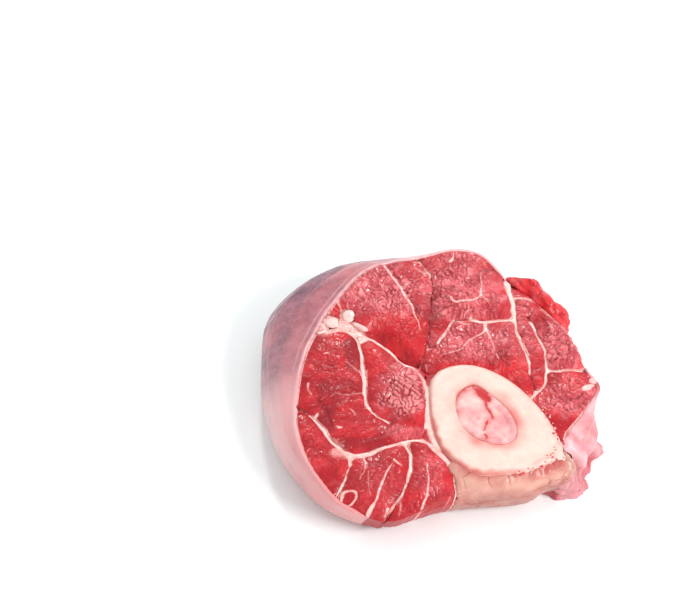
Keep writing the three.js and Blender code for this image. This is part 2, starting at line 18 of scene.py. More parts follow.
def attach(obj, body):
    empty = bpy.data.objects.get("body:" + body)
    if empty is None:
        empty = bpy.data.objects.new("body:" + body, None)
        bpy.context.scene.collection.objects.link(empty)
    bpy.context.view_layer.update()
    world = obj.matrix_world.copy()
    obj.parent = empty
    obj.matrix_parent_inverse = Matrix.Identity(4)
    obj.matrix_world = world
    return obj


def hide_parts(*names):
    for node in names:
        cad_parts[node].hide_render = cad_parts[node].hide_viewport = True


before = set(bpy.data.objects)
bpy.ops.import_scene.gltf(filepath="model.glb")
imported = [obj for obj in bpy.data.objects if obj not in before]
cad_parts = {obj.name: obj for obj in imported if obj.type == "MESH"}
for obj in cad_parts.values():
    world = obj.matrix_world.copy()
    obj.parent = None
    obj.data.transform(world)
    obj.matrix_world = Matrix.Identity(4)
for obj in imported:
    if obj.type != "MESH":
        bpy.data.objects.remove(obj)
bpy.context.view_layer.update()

# %% [markdown]
# ## The slice's own coordinates
# The shank crosses the slice at a slant, and the sides belly out between the two sawn faces.
# So a seam that shows at one place on the upper face lies a little further along on the lower
# one. Every point therefore gets layout coordinates: where it would lie if it were carried up
# to the upper face. A pattern drawn in the layout then runs right through the meat, as fibres
# do. The outlines are the same three from which the solids are made.

# %% Sizes of the slice, in millimetres
MM = 0.001
ORIGIN = np.array([0.021, 0.155])       # the layout's origin in the solids' frame
CENTRE = np.array([4.0, -6.0])
LEAN = np.array([-3.5, 6.5])
SHOULDER_POWER = 2.3
HEEL_POWER = 2.6
FLARE_POWER = 4
RIM_OUTLINE = [
    (0, 40.5), (-11, 38.2), (-20, 34.5), (-29.5, 22.5), (-36.8, 8), (-40, -8), (-40, -21),
    (-36, -33.5), (-28.5, -43.6), (-21, -48.4), (-14, -49.8), (-7, -47.8), (1, -44.2), (8.5, -41),
    (15, -39.6), (22, -38.9), (29, -37), (34, -32.5), (38.5, -25.5), (44.5, -18), (48.8, -9.5),
    (45.8, -3), (43, 3.8), (38.5, 12.3), (31, 20.6), (25.6, 26.6), (21.8, 33.6), (16, 40), (8.4, 41.9),
]
BELLY_OUTLINE = [
    (-4, 48.5), (-16, 48), (-29.5, 46.2), (-42, 38.2), (-49.6, 25.6), (-50.6, 10), (-49.3, -5),
    (-46, -18), (-39.5, -30.2), (-31, -40), (-21, -45.2), (-13.5, -46.4), (-5, -43.8), (5, -41),
    (15, -40.2), (27, -38.8), (37, -35), (43.5, -29.5), (47.6, -20), (47.8, -9), (45.5, 3),
    (42.5, 14), (36.5, 25), (28, 34.5), (17, 43), (7, 47.8),
]
FLOOR_OUTLINE = [
    (-4, 47), (-18, 44.5), (-31, 37), (-40.5, 26), (-46, 12), (-47, -2), (-44, -13.5),
    (-37.5, -24.5), (-29, -32.5), (-19, -38.6), (-12.5, -40.4), (-4, -37.4), (6, -34.8), (18, -34),
    (30, -31.8), (41, -29.6), (46, -24.8), (48.6, -18.5), (49.6, -11), (46.5, 0), (44, 12),
    (38.5, 25), (28, 36), (14, 44.5),
]
BONE_CENTRE = np.array([15.5, -18.5])
BONE_OUTLINE = [
    (0.2, -5), (3.6, -1.7), (9, -0.5), (14.2, -1.4), (20.7, -5), (26, -9.9), (30.6, -16), (33.8, -22),
    (35.1, -27.8), (32.6, -32.4), (27, -36.2), (19, -37.3), (12.4, -37.4), (7.2, -34), (2.8, -29.2),
    (0.4, -22.5), (-0.5, -14),
]
CANAL_OUTLINE = [
    (7.2, -12), (9.9, -8.8), (12.8, -8.1), (16.6, -11.2), (20.7, -15.8), (23.3, -21.5), (23, -26.4),
    (18.8, -27.9), (12.4, -25.4), (8.2, -20.6),
]


def sawn_plane(x, y):
    return 24 + 0.05 * x + 0.12 * y


def smoothstep(value, low, high):
    share = np.clip((value - low) / (high - low), 0, 1)
    return share * share * (3 - 2 * share)


def smooth_line(points, closed, steps=12):
    """Points on a Catmull-Rom curve through a list of points of any dimension."""
    points = np.array(points, float)
    count = len(points)
    turns = count if closed else count - 1
    pick = (lambda i: points[i % count]) if closed else (lambda i: points[min(max(i, 0), count - 1)])
    share = np.linspace(0, 1, steps, endpoint=False)[:, None]
    runs = []
    for i in range(turns):
        a, b, c, d = pick(i - 1), pick(i), pick(i + 1), pick(i + 2)
        bend = (2 * a - 5 * b + 4 * c - d) * share**2 + (3 * b - a - 3 * c + d) * share**3
        runs.append(0.5 * (2 * b + (c - a) * share + bend))
    if not closed:
        runs.append(points[-1:])
    return np.concatenate(runs)


def outline_radius(outline, middle):
    """An outline as a function from a direction to a distance from a middle."""
    reach = smooth_line(outline, closed=True) - middle
    angle = np.arctan2(reach[:, 1], reach[:, 0])
    order = np.argsort(angle)
    radius = np.hypot(reach[:, 0], reach[:, 1])[order]
    return lambda turn: np.interp(turn, angle[order], radius, period=2 * math.pi)


rim_radius = outline_radius(RIM_OUTLINE, CENTRE)
belly_radius = outline_radius(BELLY_OUTLINE, CENTRE + LEAN / 2)
floor_radius = outline_radius(FLOOR_OUTLINE, CENTRE + LEAN)
bone_radius = outline_radius(BONE_OUTLINE, BONE_CENTRE)
canal_radius = outline_radius(CANAL_OUTLINE, BONE_CENTRE)


def outer_radius(angle, level):
    belly = belly_radius(angle)
    above = np.clip(2 * level - 1, 0, 1)
    below = np.clip(1 - 2 * level, 0, 1)
    shoulder = (rim_radius(angle) - belly) * above**SHOULDER_POWER
    heel = (floor_radius(angle) - belly) * below**HEEL_POWER
    return belly + shoulder + heel


def layout(places):
    """Layout x, layout y and level, 0 at the lower face and 1 at the upper, of places in metres."""
    flat = places[:, :2] / MM - ORIGIN
    height = places[:, 2] / MM
    x, y = flat[:, 0], flat[:, 1]
    for _ in range(3):
        level = np.clip(height / sawn_plane(x, y), 0, 1)
        reach = flat - CENTRE - LEAN * (1 - level)[:, None]
        angle = np.arctan2(reach[:, 1], reach[:, 0])
        seen = np.hypot(reach[:, 0], reach[:, 1])
        rim = rim_radius(angle)
        flare = outer_radius(angle, level) - rim
        inner = seen.copy()
        for _ in range(6):
            slope = 1 + FLARE_POWER * flare * inner ** (FLARE_POWER - 1) / rim**FLARE_POWER
            inner = inner - (inner + flare * (inner / rim) ** FLARE_POWER - seen) / np.maximum(slope, 0.4)
            inner = np.clip(inner, 0.2 * seen, 1.6 * seen)
        x = CENTRE[0] + inner * np.cos(angle)
        y = CENTRE[1] + inner * np.sin(angle)
    return x, y, level


def polar(x, y, middle):
    """Direction and distance of layout points from a middle."""
    return np.arctan2(y - middle[1], x - middle[0]), np.hypot(x - middle[0], y - middle[1])


def past_outline(x, y, radius_at, middle=BONE_CENTRE):
    """How far layout points lie outside an outline, in millimetres, negative inside it."""
    angle, distance = polar(x, y, middle)
    return distance - radius_at(angle)


print("outlines", len(RIM_OUTLINE), len(BELLY_OUTLINE), len(FLOOR_OUTLINE), "points")

# %% [markdown]
# ## Noise in numbers
# Blender's texture nodes can't move vertices that stay in an exported mesh, so the relief is
# worked out here, for all vertices of a piece at once. Soft noise gives lumps and blotches.
# Cell noise gives packed lobes with a crack between them, as the bundles of fibres on a cut
# muscle have. Winding noise is a sum of waves of nearly one length that run in all directions:
# where it crosses zero it draws long curling creases.

# %% Soft, cell and winding noise
def scatter(cells, seed):
    """A fixed number from 0 to 1 for each whole-numbered cell."""
    whole = cells.astype(np.int64).astype(np.uint64)
    mixed = np.full(len(cells), seed * 977 + 12345, np.uint64)
    for axis in range(cells.shape[1]):
        mixed = (mixed ^ whole[:, axis]) * np.uint64(6364136223846793005) + np.uint64(1442695040888963407)
        mixed ^= mixed >> np.uint64(29)
    return (mixed >> np.uint64(40)).astype(float) / 2**24


def soft_noise(places, size, seed):
    """Smooth noise from -1 to 1 with lumps of a given size."""
    grid = places / size
    base = np.floor(grid)
    share = grid - base
    share = share * share * (3 - 2 * share)
    total = np.zeros(len(places))
    for corner in np.ndindex(*(2,) * places.shape[1]):
        weight = np.prod(np.where(corner, share, 1 - share), axis=1)
        total += weight * scatter(base + corner, seed)
    return 2 * total - 1


def cell_noise(places, size, seed):
    """Distance to the border between scattered cells, and a fixed number for each cell."""
    grid = places / size
    base = np.floor(grid)
    first = np.full(len(places), 9.0)
    second = first.copy()
    own = np.zeros(len(places))
    for step in np.ndindex(*(3,) * places.shape[1]):
        cell = base + step - 1
        jitter = np.stack([scatter(cell, seed + axis) for axis in range(places.shape[1])], axis=1)
        far = np.linalg.norm(cell + 0.1 + 0.8 * jitter - grid, axis=1)
        nearer = far < first
        second = np.where(nearer, first, np.minimum(second, far))
        own = np.where(nearer, scatter(cell, seed + 7), own)
        first = np.where(nearer, far, first)
    return (second - first) * size, own


def winding_noise(places, length, seed, waves=26):
    """Noise whose zero lines wind about a given wave length apart."""
    draw = np.random.default_rng(seed)
    total = np.zeros(len(places))
    for _ in range(waves):
        turn = draw.uniform(0, 2 * math.pi)
        pitch = 2 * math.pi / (length * draw.uniform(0.8, 1.25))
        along = places[:, 0] * math.cos(turn) + places[:, 1] * math.sin(turn)
        total += np.cos(pitch * along + draw.uniform(0, 2 * math.pi))
    return total / math.sqrt(waves / 2)


print("noise check", soft_noise(np.array([[0.3, 0.4], [5.2, 1.1]]), 1, 4).round(3))

# %% [markdown]
# ## Rounding and wandering
# The solids have 64 flat sides, and their seams are smooth curves. On the slice the outside is
# round and every seam strays a little. Both are mended by one shift that depends on the place
# alone, so neighbours move together and no gap opens between them.

# %% A shift shared by all pieces
SIDE = math.radians(360 / 64)
WALL_LEVELS = np.array([0, 0.12, 0.3, 0.5, 0.72, 0.88, 1])
FACE_DROP = 1.0                         # the rim lies this far below the sawn plane
FOLD_DEPTH = 1.5
FOLDS_PER_TURN = 18
FOLD_MIDDLE, FOLD_HALF = math.radians(-22), math.radians(30)


def folds(angle, level):
    offset = np.abs(np.arctan2(np.sin(angle - FOLD_MIDDLE), np.cos(angle - FOLD_MIDDLE)))
    reach = 1 - smoothstep(offset, FOLD_HALF - 0.8 * SIDE, FOLD_HALF + 0.8 * SIDE)
    return FOLD_DEPTH * reach * np.sin(FOLDS_PER_TURN * angle + 2.5 * level) * (1 - level) ** 0.7


def flat_sided_radius(angle, level):
    """The distance of the outside as the solids have it, with flat sides between rings of corners."""
    corner = np.floor(angle / SIDE) * SIDE
    ring = np.clip(np.searchsorted(WALL_LEVELS, level, side="right") - 1, 0, len(WALL_LEVELS) - 2)
    share = (level - WALL_LEVELS[ring]) / (WALL_LEVELS[ring + 1] - WALL_LEVELS[ring])
    total = np.zeros(len(angle))
    for ring_level, weight in ((WALL_LEVELS[ring], 1 - share), (WALL_LEVELS[ring + 1], share)):
        here = outer_radius(corner, ring_level) + folds(corner, ring_level)
        there = outer_radius(corner + SIDE, ring_level) + folds(corner + SIDE, ring_level)
        chord = here * np.sin(angle - corner) + there * np.sin(corner + SIDE - angle)
        total += weight * here * there * math.sin(SIDE) / chord
    return total


def settle(places, x, y):
    """Places moved on to the round outside, and along with the seams that stray."""
    flat = places[:, :2] / MM - ORIGIN
    level = np.clip(places[:, 2] / MM / (sawn_plane(x, y) - FACE_DROP), 0, 1)
    reach = flat - CENTRE - LEAN * (1 - level)[:, None]
    angle, distance = np.arctan2(reach[:, 1], reach[:, 0]), np.hypot(reach[:, 0], reach[:, 1])
    flat_sided = flat_sided_radius(angle, level)
    rounder = outer_radius(angle, level) + folds(angle, level) - flat_sided
    rounder = np.clip(rounder, -0.5, 0.5) * smoothstep(distance / flat_sided, 0.88, 0.97)
    spot = np.stack([x, y], axis=1)
    stray = smoothstep(past_outline(x, y, bone_radius), 0.3, 3)
    stray *= 1 - smoothstep(distance / flat_sided, 0.86, 0.97)
    moved = places.copy()
    for axis, seed in ((0, 51), (1, 52)):
        wander = 0.42 * soft_noise(spot, 4.6, seed) + 0.16 * soft_noise(spot, 1.7, seed + 10)
        moved[:, axis] += (wander * stray + rounder * reach[:, axis] / np.maximum(distance, 1e-6)) * MM
    return moved


# %% [markdown]
# ## From a faceted solid to a fine skin
# Each solid is copied, its loose triangles are merged, and a voxel remesh rebuilds it as an even
# mesh that smoothing can round. Only what can be seen needs the finest mesh, so the faces on the
# outside are then split once more.

# %% Copies with an even mesh
VOXEL = 0.43 * MM
SMOOTHING = 5


def copy_of(*names):
    bm = bmesh.new()
    for name in names:
        bm.from_mesh(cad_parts[name].data)
    bmesh.ops.remove_doubles(bm, verts=bm.verts, dist=1e-6)
    return bm


def even_mesh(bm, voxel=VOXEL, smoothing=SMOOTHING):
    """Closed surfaces rebuilt as one even, rounded mesh. The bmesh is used up."""
    rough = bpy.data.meshes.new("rough")
    bm.to_mesh(rough)
    bm.free()
    holder = bpy.data.objects.new("rough", rough)
    bpy.context.scene.collection.objects.link(holder)
    remesh = holder.modifiers.new("even", "REMESH")
    remesh.mode = "VOXEL"
    remesh.voxel_size = voxel
    smooth = holder.modifiers.new("round", "SMOOTH")
    smooth.iterations = smoothing
    bpy.context.view_layer.update()
    mesh = bpy.data.meshes.new_from_object(holder.evaluated_get(bpy.context.evaluated_depsgraph_get()))
    bpy.data.objects.remove(holder)
    bpy.data.meshes.remove(rough)
    return mesh


def surface_of(*names):
    """A tree of surfaces for rays and nearest points, made from the solids of some nodes."""
    bm = bmesh.new()
    for name in names:
        bm.from_mesh(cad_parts[name].data)
    tree = BVHTree.FromBMesh(bm)
    bm.free()
    return tree


def places_of(mesh):
    places = np.empty(len(mesh.vertices) * 3)
    mesh.vertices.foreach_get("co", places)
    return places.reshape(-1, 3)


def normals_of(mesh):
    normals = np.empty(len(mesh.vertices) * 3, np.float32)
    mesh.vertex_normals.foreach_get("vector", normals)
    return normals.reshape(-1, 3).astype(float)


everything = surface_of(*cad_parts)
PEEK = 0.3 * MM
FAR = 6 * MM


def open_to_sight(places, normals):
    """Which places lie on a sawn face or on the outside of the slice."""
    level = layout(places)[2]
    open_ones = (np.abs(normals[:, 2]) > 0.3) & ((level > 0.86) | (level < 0.1))
    middle = np.append((CENTRE + ORIGIN) * MM, 0)
    for i in np.flatnonzero(~open_ones):
        out = Vector(places[i] - middle)
        out.z = 0
        out.normalize()
        hit = everything.ray_cast(Vector(places[i]) + out * PEEK, out, FAR)
        open_ones[i] = hit[0] is None
    return open_ones


def split_open_faces(mesh):
    """Split the faces that can be seen into four, but not those that lie on the ground."""
    places, normals = places_of(mesh), normals_of(mesh)
    seen = open_to_sight(places, normals) & (normals[:, 2] > -0.5)
    ends = np.empty(2 * len(mesh.edges), np.int32)
    mesh.edges.foreach_get("vertices", ends)
    both = seen[ends].reshape(-1, 2).any(axis=1)
    bm = bmesh.new()
    bm.from_mesh(mesh)
    bm.edges.ensure_lookup_table()
    chosen = [bm.edges[i] for i in np.flatnonzero(both)]
    bmesh.ops.subdivide_edges(bm, edges=chosen, cuts=1, use_grid_fill=True)
    bm.to_mesh(mesh)
    bm.free()
    return mesh


def nearest(tree, places, reach):
    """For each place the vector to the nearest point of a surface, or a long one past the reach."""
    away = np.full((len(places), 3), 1.0)
    for i, place in enumerate(places):
        found = tree.find_nearest(place, reach)[0]
        if found is not None:
            away[i] = np.array(found) - place
    return away


def add_piece(name, mesh, material, slot, *replaced):
    """A finished piece: smooth, dressed, riding on the slice and standing for its solid."""
    mesh.name = name
    mesh.materials.clear()
    mesh.materials.append(material)
    mesh.shade_smooth()
    piece = bpy.data.objects.new(name, mesh)
    bpy.context.scene.collection.objects.link(piece)
    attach(piece, "root")
    if replaced:
        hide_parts(*replaced)
    corners = sum(len(face.vertices) - 2 for face in mesh.polygons)
    print(name, corners, "triangles")
    return piece


def note(mesh, name, values):
    """Keep a number for every vertex, which a material can read."""
    attribute = mesh.attributes.new(name, "FLOAT", "POINT")
    attribute.data.foreach_set("value", np.asarray(values, np.float32))


def move_to(mesh, places):
    """Move the vertices, and press flat what would go through the ground."""
    places = np.asarray(places, np.float32)
    places[:, 2] = np.maximum(places[:, 2], 0)
    mesh.vertices.foreach_set("co", places.ravel())
    mesh.update()


# %% [markdown]
# ## Lines of fat, creases and flecks
# Besides the seams that run right through, fine twigs of fat, creases and short flecks show
# on the cut. The creases are sunk a little and painted dark as shade. They are lines read off
# the cut face, in millimetres, each with its width at the start, middle and end. They are drawn
# once into maps of the layout, which hold for every square tenth of a millimetre how far it lies
# past the edge of the nearest line. Looking a place up in a map is much quicker than measuring it
# against every line.

# %% The lines
FAT_LINES = [
    # the upper left muscle: its long line, and the pale line inside its rim
    ((0.9, 1.1, 0.4), [(-13.7, 36.5), (-11.6, 33.2), (-9.9, 29.9), (-8.2, 26.8), (-6.9, 24.1),
                       (-5.4, 21.3), (-4.3, 18.1), (-3.5, 15.4), (-2.8, 12.3)]),
    ((1.3, 0.6, 0.6), [(-8, 38.8), (-14.2, 36.9), (-17, 35.5), (-20.3, 33.3), (-23.1, 30.9), (-25.6, 27.3),
                       (-27.2, 24.2), (-27.7, 21.3), (-27.3, 18.4), (-26.5, 16.1)]),
    ((0.4, 0.4, 0.2), [(-24.2, 21.2), (-25.1, 23.3), (-24.9, 24.4)]),
    ((0.5, 2.4, 0.4), [(-19, 35.6), (-14.6, 37.6), (-9, 39.6), (-3, 40.4), (3, 40.8)]),
    # the upper muscle
    ((0.4, 0.8, 1.5), [(7.9, 39.3), (7.3, 37.8), (6.7, 37)]),
    ((0.35, 0.4, 0.35), [(-4.4, 36.9), (-2.4, 37.1), (-0.5, 35.1), (0.6, 33.6), (1.1, 32.1)]),
    ((0.3, 0.4, 0.3), [(-2.5, 34.2), (-1.4, 33), (-0.2, 31.7)]),
    ((0.3, 0.4, 0.3), [(-4.4, 35.9), (-2.9, 34.3), (-1.2, 32.5)]),
    ((0.4, 0.6, 0.9), [(15.8, 32), (15.6, 30.6), (15.9, 28.9), (15.8, 26.6), (15.7, 24.3)]),
    ((0.6, 0.4, 0.2), [(15.7, 24.3), (17, 22.8), (17.9, 21.4), (18.8, 19.9)]),
    ((0.8, 0.8, 1.1), [(15.7, 24.3), (14.1, 23.2), (12.2, 22.5), (9.5, 22.4), (7.2, 22.2), (6.5, 23.7)]),
    ((0.3, 0.4, 0.3), [(9, 31.1), (9.7, 29.4), (9.9, 27.8)]),
    ((0.7, 0.6, 0.3), [(6.8, 16.5), (6.9, 15.1), (8.5, 14.5), (10.3, 13.9), (12.2, 13.8)]),
    ((0.6, 0.6, 0.7), [(6.9, 15.1), (5.5, 12.7), (4.2, 10.4), (2.6, 8)]),
    # the middle muscle and the white crossing above it
    ((0.5, 1.3, 1.2), [(12.1, 16.7), (13.6, 15.8), (15.3, 14.8), (16.4, 14.3), (18.9, 14.9), (21.8, 15.4),
                       (24.1, 15.6), (24.9, 16.7)]),
    ((1.9, 0.7, 0.6), [(16.4, 14.3), (16.4, 12.9), (16.1, 11.3), (14, 10), (12, 8.8), (10.1, 7)]),
    ((0.6, 0.4, 0.2), [(10.1, 7), (8.4, 5), (5.6, 4.2), (3, 3.5)]),
    ((1.2, 0.5, 0.4), [(16.4, 12.9), (16.9, 11.3), (17.7, 9), (18.6, 6.5), (19.8, 1)]),
    # the long white line on the right, and the fascia that leads to the flap
    ((2.1, 1.2, 0.4), [(23.2, 28.6), (23.8, 25.8), (24.5, 23.9), (25.2, 20.1), (25.1, 16.7), (25.2, 14.4),
                       (25.7, 10.9), (26.4, 8.9), (27.3, 7.5), (28.5, 4.2), (28.9, 0.9), (29.1, -3.3)]),
    ((1, 0.7, 0.6), [(23.8, 25.6), (26.1, 23.5), (28.9, 22.4), (31.2, 20.9), (33.1, 18.6), (35.3, 16.3),
                     (37.2, 14.6)]),
    ((0.4, 0.6, 0.8), [(29.8, 13.7), (31.1, 11.2), (32.3, 8.3), (33.3, 5.4), (33.5, 2.6), (33.8, -0.2),
                       (34.2, -3.1)]),
    ((1.4, 0.8, 0.8), [(34.2, -3.3), (36.9, -3.4), (38.9, -2.8), (42, -2.9), (45.8, -2.3)]),
    ((0.7, 0.6, 1.6), [(33.5, -4.2), (33.6, -6.3), (32.3, -8.6), (30.2, -10.8), (28.6, -12.1)]),
    ((2.2, 2.6, 1.8), [(44.2, -10.2), (44.8, -9.7), (45.3, -9.2)]),
    ((0.4, 0.5, 0.3), [(35.2, 13.9), (35.8, 12.9), (36.6, 11.5)]),
    ((0.6, 1.1, 0.8), [(26.6, -14.2), (28.4, -13.2), (29.6, -11.4)]),
    # the left muscle: arch, edge and the fine lines in it
    ((1.2, 1.7, 0.5), [(-30.7, 12.2), (-28.8, 12.9), (-26.3, 13.3), (-24.1, 12.8), (-22.5, 11.2),
                       (-21.1, 8.5), (-20.4, 5.5), (-19.8, 2.6)]),
    ((0.6, 0.5, 1.1), [(-19.8, 2.6), (-19.4, -0.4), (-19.8, -4.5), (-20.1, -7.1)]),
    ((1.6, 1.8, 1.1), [(-23.8, 13.2), (-22.2, 12.4), (-20.6, 11.2), (-19.2, 9.6)]),
    ((0.5, 1.7, 0.2), [(-18.3, -0.7), (-18.5, -4.6), (-19, -8.4), (-19.1, -11.9), (-18, -14.8),
                       (-16.2, -16.7), (-14.3, -18.4), (-12.4, -19.5)]),
    ((0.9, 1.2, 0.9), [(-21.9, 12.5), (-18.3, 10.1), (-15.6, 8.6), (-12.9, 5.9), (-10.2, 2.9), (-7.5, 0.2),
                       (-4.9, -2.9), (-3, -5.8), (-1.5, -9.1), (-1.6, -13.2), (-1.7, -16.6), (-2.3, -21)]),
    ((0.4, 0.35, 0.25), [(-19.7, -7.4), (-20.9, -8.8), (-23.6, -9.7), (-26.4, -9.6), (-28.2, -9),
                         (-30.1, -10.1)]),
    ((0.8, 0.5, 0.2), [(-36.8, -5.2), (-36.8, -7.1), (-36, -8.7), (-35.4, -10.3)]),
    ((0.6, 0.8, 0.5), [(-32, 5.2), (-31.4, 5.3), (-30.9, 5.4)]),
    ((0.3, 0.4, 0.25), [(-25.2, 2.1), (-23.6, 0.8), (-22.3, -0.9), (-21.4, -1.9)]),
    ((0.9, 1.1, 0.7), [(-33.5, -15.3), (-33.4, -15.7), (-33.2, -16)]),
    ((0.5, 0.8, 1.4), [(-35, -16), (-33.1, -17.7), (-31.5, -19.6), (-30.1, -21.5), (-29.3, -23.7),
                       (-28, -26), (-26.9, -27.5)]),
    ((0.3, 0.4, 0.3), [(-28, -23.2), (-26.6, -25.1), (-25.3, -26.4)]),
    ((0.3, 0.5, 0.2), [(-23.9, -14.6), (-23.2, -15.5), (-22.3, -16.5)]),
    ((0.6, 0.9, 0.4), [(-27.4, -20.1), (-26.8, -20.4), (-26.1, -20.6)]),
    ((0.5, 0.5, 0.5), [(-25.4, -11.6), (-25.2, -11.8)]),
    ((0.5, 0.5, 0.5), [(-28.6, -18.2), (-28.4, -18.4)]),
    ((0.4, 0.3, 0.3), [(-36.2, 1.2), (-35.8, 0.6), (-36.4, 0.2), (-35.2, -0.4)]),
    # the thick pink seam above the front muscles
    ((2.0, 2.3, 1.5), [(-27.6, -27.3), (-26.2, -28.6), (-24, -29.7), (-21.5, -30), (-19.8, -29.9),
                       (-17.3, -28.9), (-14.8, -27.8)]),
    ((1.5, 1.7, 1.2), [(-14.8, -27.8), (-12.3, -26.9), (-9.8, -26.5), (-7.3, -26.2), (-5.2, -25.7),
                       (-3.4, -25.8)]),
    ((1.2, 1, 0.7), [(-3.4, -25.8), (-1.3, -27.2), (0.5, -29.3), (1.7, -30.4), (3.5, -32.9),
                     (5.2, -36.2), (5.9, -38.3)]),
    # the front muscles
    ((0.5, 0.9, 0.7), [(-24.4, -34.8), (-24.8, -37.2), (-26.2, -39.7), (-27.6, -42.5), (-28, -44.1)]),
    ((0.9, 0.5, 0.2), [(-20.5, -30.5), (-19.9, -34.2), (-21.2, -38.3)]),
    ((0.5, 1.1, 1.0), [(-11.9, -33.3), (-13.3, -35.3), (-14.4, -37.7), (-15.6, -41.7), (-17.4, -45.7)]),
    ((1.6, 2.0, 0.9), [(-17.4, -45.7), (-18.1, -47.3), (-18.5, -50)]),
    ((2.4, 0.8, 0.6), [(-8.4, -26.7), (-6.9, -28.8), (-6.2, -32.1), (-6.8, -36.2), (-8, -40.3)]),
    ((0.6, 0.4, 0.3), [(-8, -40.3), (-9.2, -43.2), (-12.1, -46.8), (-14.6, -48.8)]),
    ((0.7, 0.7, 1.2), [(-2.3, -33.2), (-1.9, -37.8), (-1.9, -42.2), (-2.9, -45.4), (-3.4, -48.1)]),
    ((0.2, 0.35, 0.2), [(-18.8, -35), (-18.9, -39), (-18.3, -43.2)]),
    ((0.2, 0.4, 0.2), [(-9.1, -43.4), (-8.9, -46), (-9.6, -48.6)]),
    ((1.0, 0.6, 0.8), [(-13.4, -46.9), (-13.9, -48.2), (-14.2, -49.2)]),
    ((1.0, 0.9, 0.5), [(-11.3, -32), (-10.2, -33.3), (-9.4, -34)]),
    # the pale bed of the tendons
    ((1.6, 2.6, 1.8), [(-32, 13.2), (-28.4, 14.4), (-24.8, 14.6), (-21.6, 12.8)]),
    # the white sheath on the left of the bone
    ((0.7, 1.7, 1.5), [(0.4, -6.6), (-0.9, -12), (-0.9, -18), (-0.1, -23.5), (1.6, -28)]),
    # the ends of the rind
    ((1.6, 1.6, 1.6), [(29, -27.2), (34, -27.4), (38, -27.5), (43, -27.8), (48, -28)]),
    ((0.8, 0.8, 1.2), [(3.5, -32.9), (5.2, -36.2), (6.2, -40), (7.2, -46)]),
]
FAT_RINGS = [
    # middle x, middle y, radius, width
    (-23.9, -32.1, 0.75, 0.45),
    (-24, -43.2, 1.8, 0.9),
]
# Creases, sunk a little, whose dark colour is painted shade.
SHADED_CREASES = [
    ((0.5, 0.9, 0.6), [(14, 31.1), (16, 32.9), (18, 33.5), (19.7, 33), (20.6, 31.3)]),
    ((0.4, 0.6, 0.4), [(-0.2, 25.8), (0.8, 27.2), (2.4, 27.8), (4.7, 27.3), (6.5, 26)]),
    ((0.5, 0.9, 0.4), [(1.8, 23.2), (2.8, 24.5), (4, 24.7), (5.3, 23.5), (6, 21.9)]),
    ((0.6, 1.2, 0.4), [(6.4, 28.6), (8.3, 26), (10.7, 24.9), (11.8, 23.9)]),
    ((0.4, 0.8, 0.4), [(0.5, 21.5), (2.2, 20.4), (4.6, 20.6), (6.2, 21)]),
    ((0.5, 0.9, 0.7), [(-11.4, 35), (-9.1, 30.4), (-7.3, 27), (-6, 24.6), (-4.5, 21.5), (-3.4, 18.3)]),
    ((0.3, 1.1, 0.8), [(0.3, 24), (0.6, 19), (-0.2, 12), (-1.4, 7), (-2.6, 2)]),
    ((0.8, 1.6, 1.2), [(-33.7, -10.7), (-33.4, -12), (-32.4, -13.6), (-31, -16), (-29.9, -18.6),
                       (-28.7, -21.4)]),
    ((0.3, 0.9, 0.3), [(-7.9, -20.8), (-10.6, -21.9), (-14.6, -23.3), (-18.6, -24.4), (-21, -25.3)]),
    ((0.9, 0.7, 0.2), [(-41, -17.7), (-40, -17.3), (-39.2, -16.8)]),
    ((0.5, 1.3, 0.5), [(-21.5, 9), (-21.3, 5.6), (-20.9, 1), (-20.6, -3.6)]),
    ((0.3, 0.8, 0.3), [(36.6, 7.6), (38.6, 7.4), (40.4, 5.6), (40.6, 2.8), (39.4, 1.2)]),
    ((0.3, 0.7, 0.3), [(36.2, 4.6), (37.2, 2.6), (36.6, 0.4), (35.2, -0.6)]),
    ((0.3, 0.7, 0.3), [(27.6, 20.6), (29.4, 19.4), (30.4, 17.4), (29.8, 15.6)]),
    ((0.3, 0.7, 0.3), [(33.6, 15), (34.6, 13), (34.4, 10.8), (35.6, 9.2)]),
    ((0.4, 0.8, 0.4), [(20.6, 3.8), (21.8, 2.2), (22.6, 0.2), (22.4, -1.6)]),
    ((0.3, 0.8, 0.3), [(13.6, 5.4), (15, 6.2), (16.2, 5), (16, 3.2), (14.6, 2.4)]),
    ((0.4, 0.8, 0.3), [(36, -12.4), (38.6, -14), (41.4, -13.4), (43.4, -12)]),
    ((0.5, 0.9, 0.3), [(38, -17.6), (40.4, -17.2), (42.6, -15.6), (44.4, -13.4)]),
]
FLECKS = 700


def from_face(points):
    """Layout coordinates of points that were read off the upper sawn face."""
    flat = np.array(points, float)
    height = sawn_plane(flat[:, 0], flat[:, 1]) - 0.5
    places = np.column_stack([flat + ORIGIN, height]) * MM
    x, y, _ = layout(places)
    return np.stack([x, y], axis=1)


MAP_CELL = 0.1
MAP_HALF = 58
MAP_SIDE = int(2 * MAP_HALF / MAP_CELL) + 1
MAP_REACH = 1.6
LINE_SHARE = 0.72
MAP_CELLS_REACH = 30


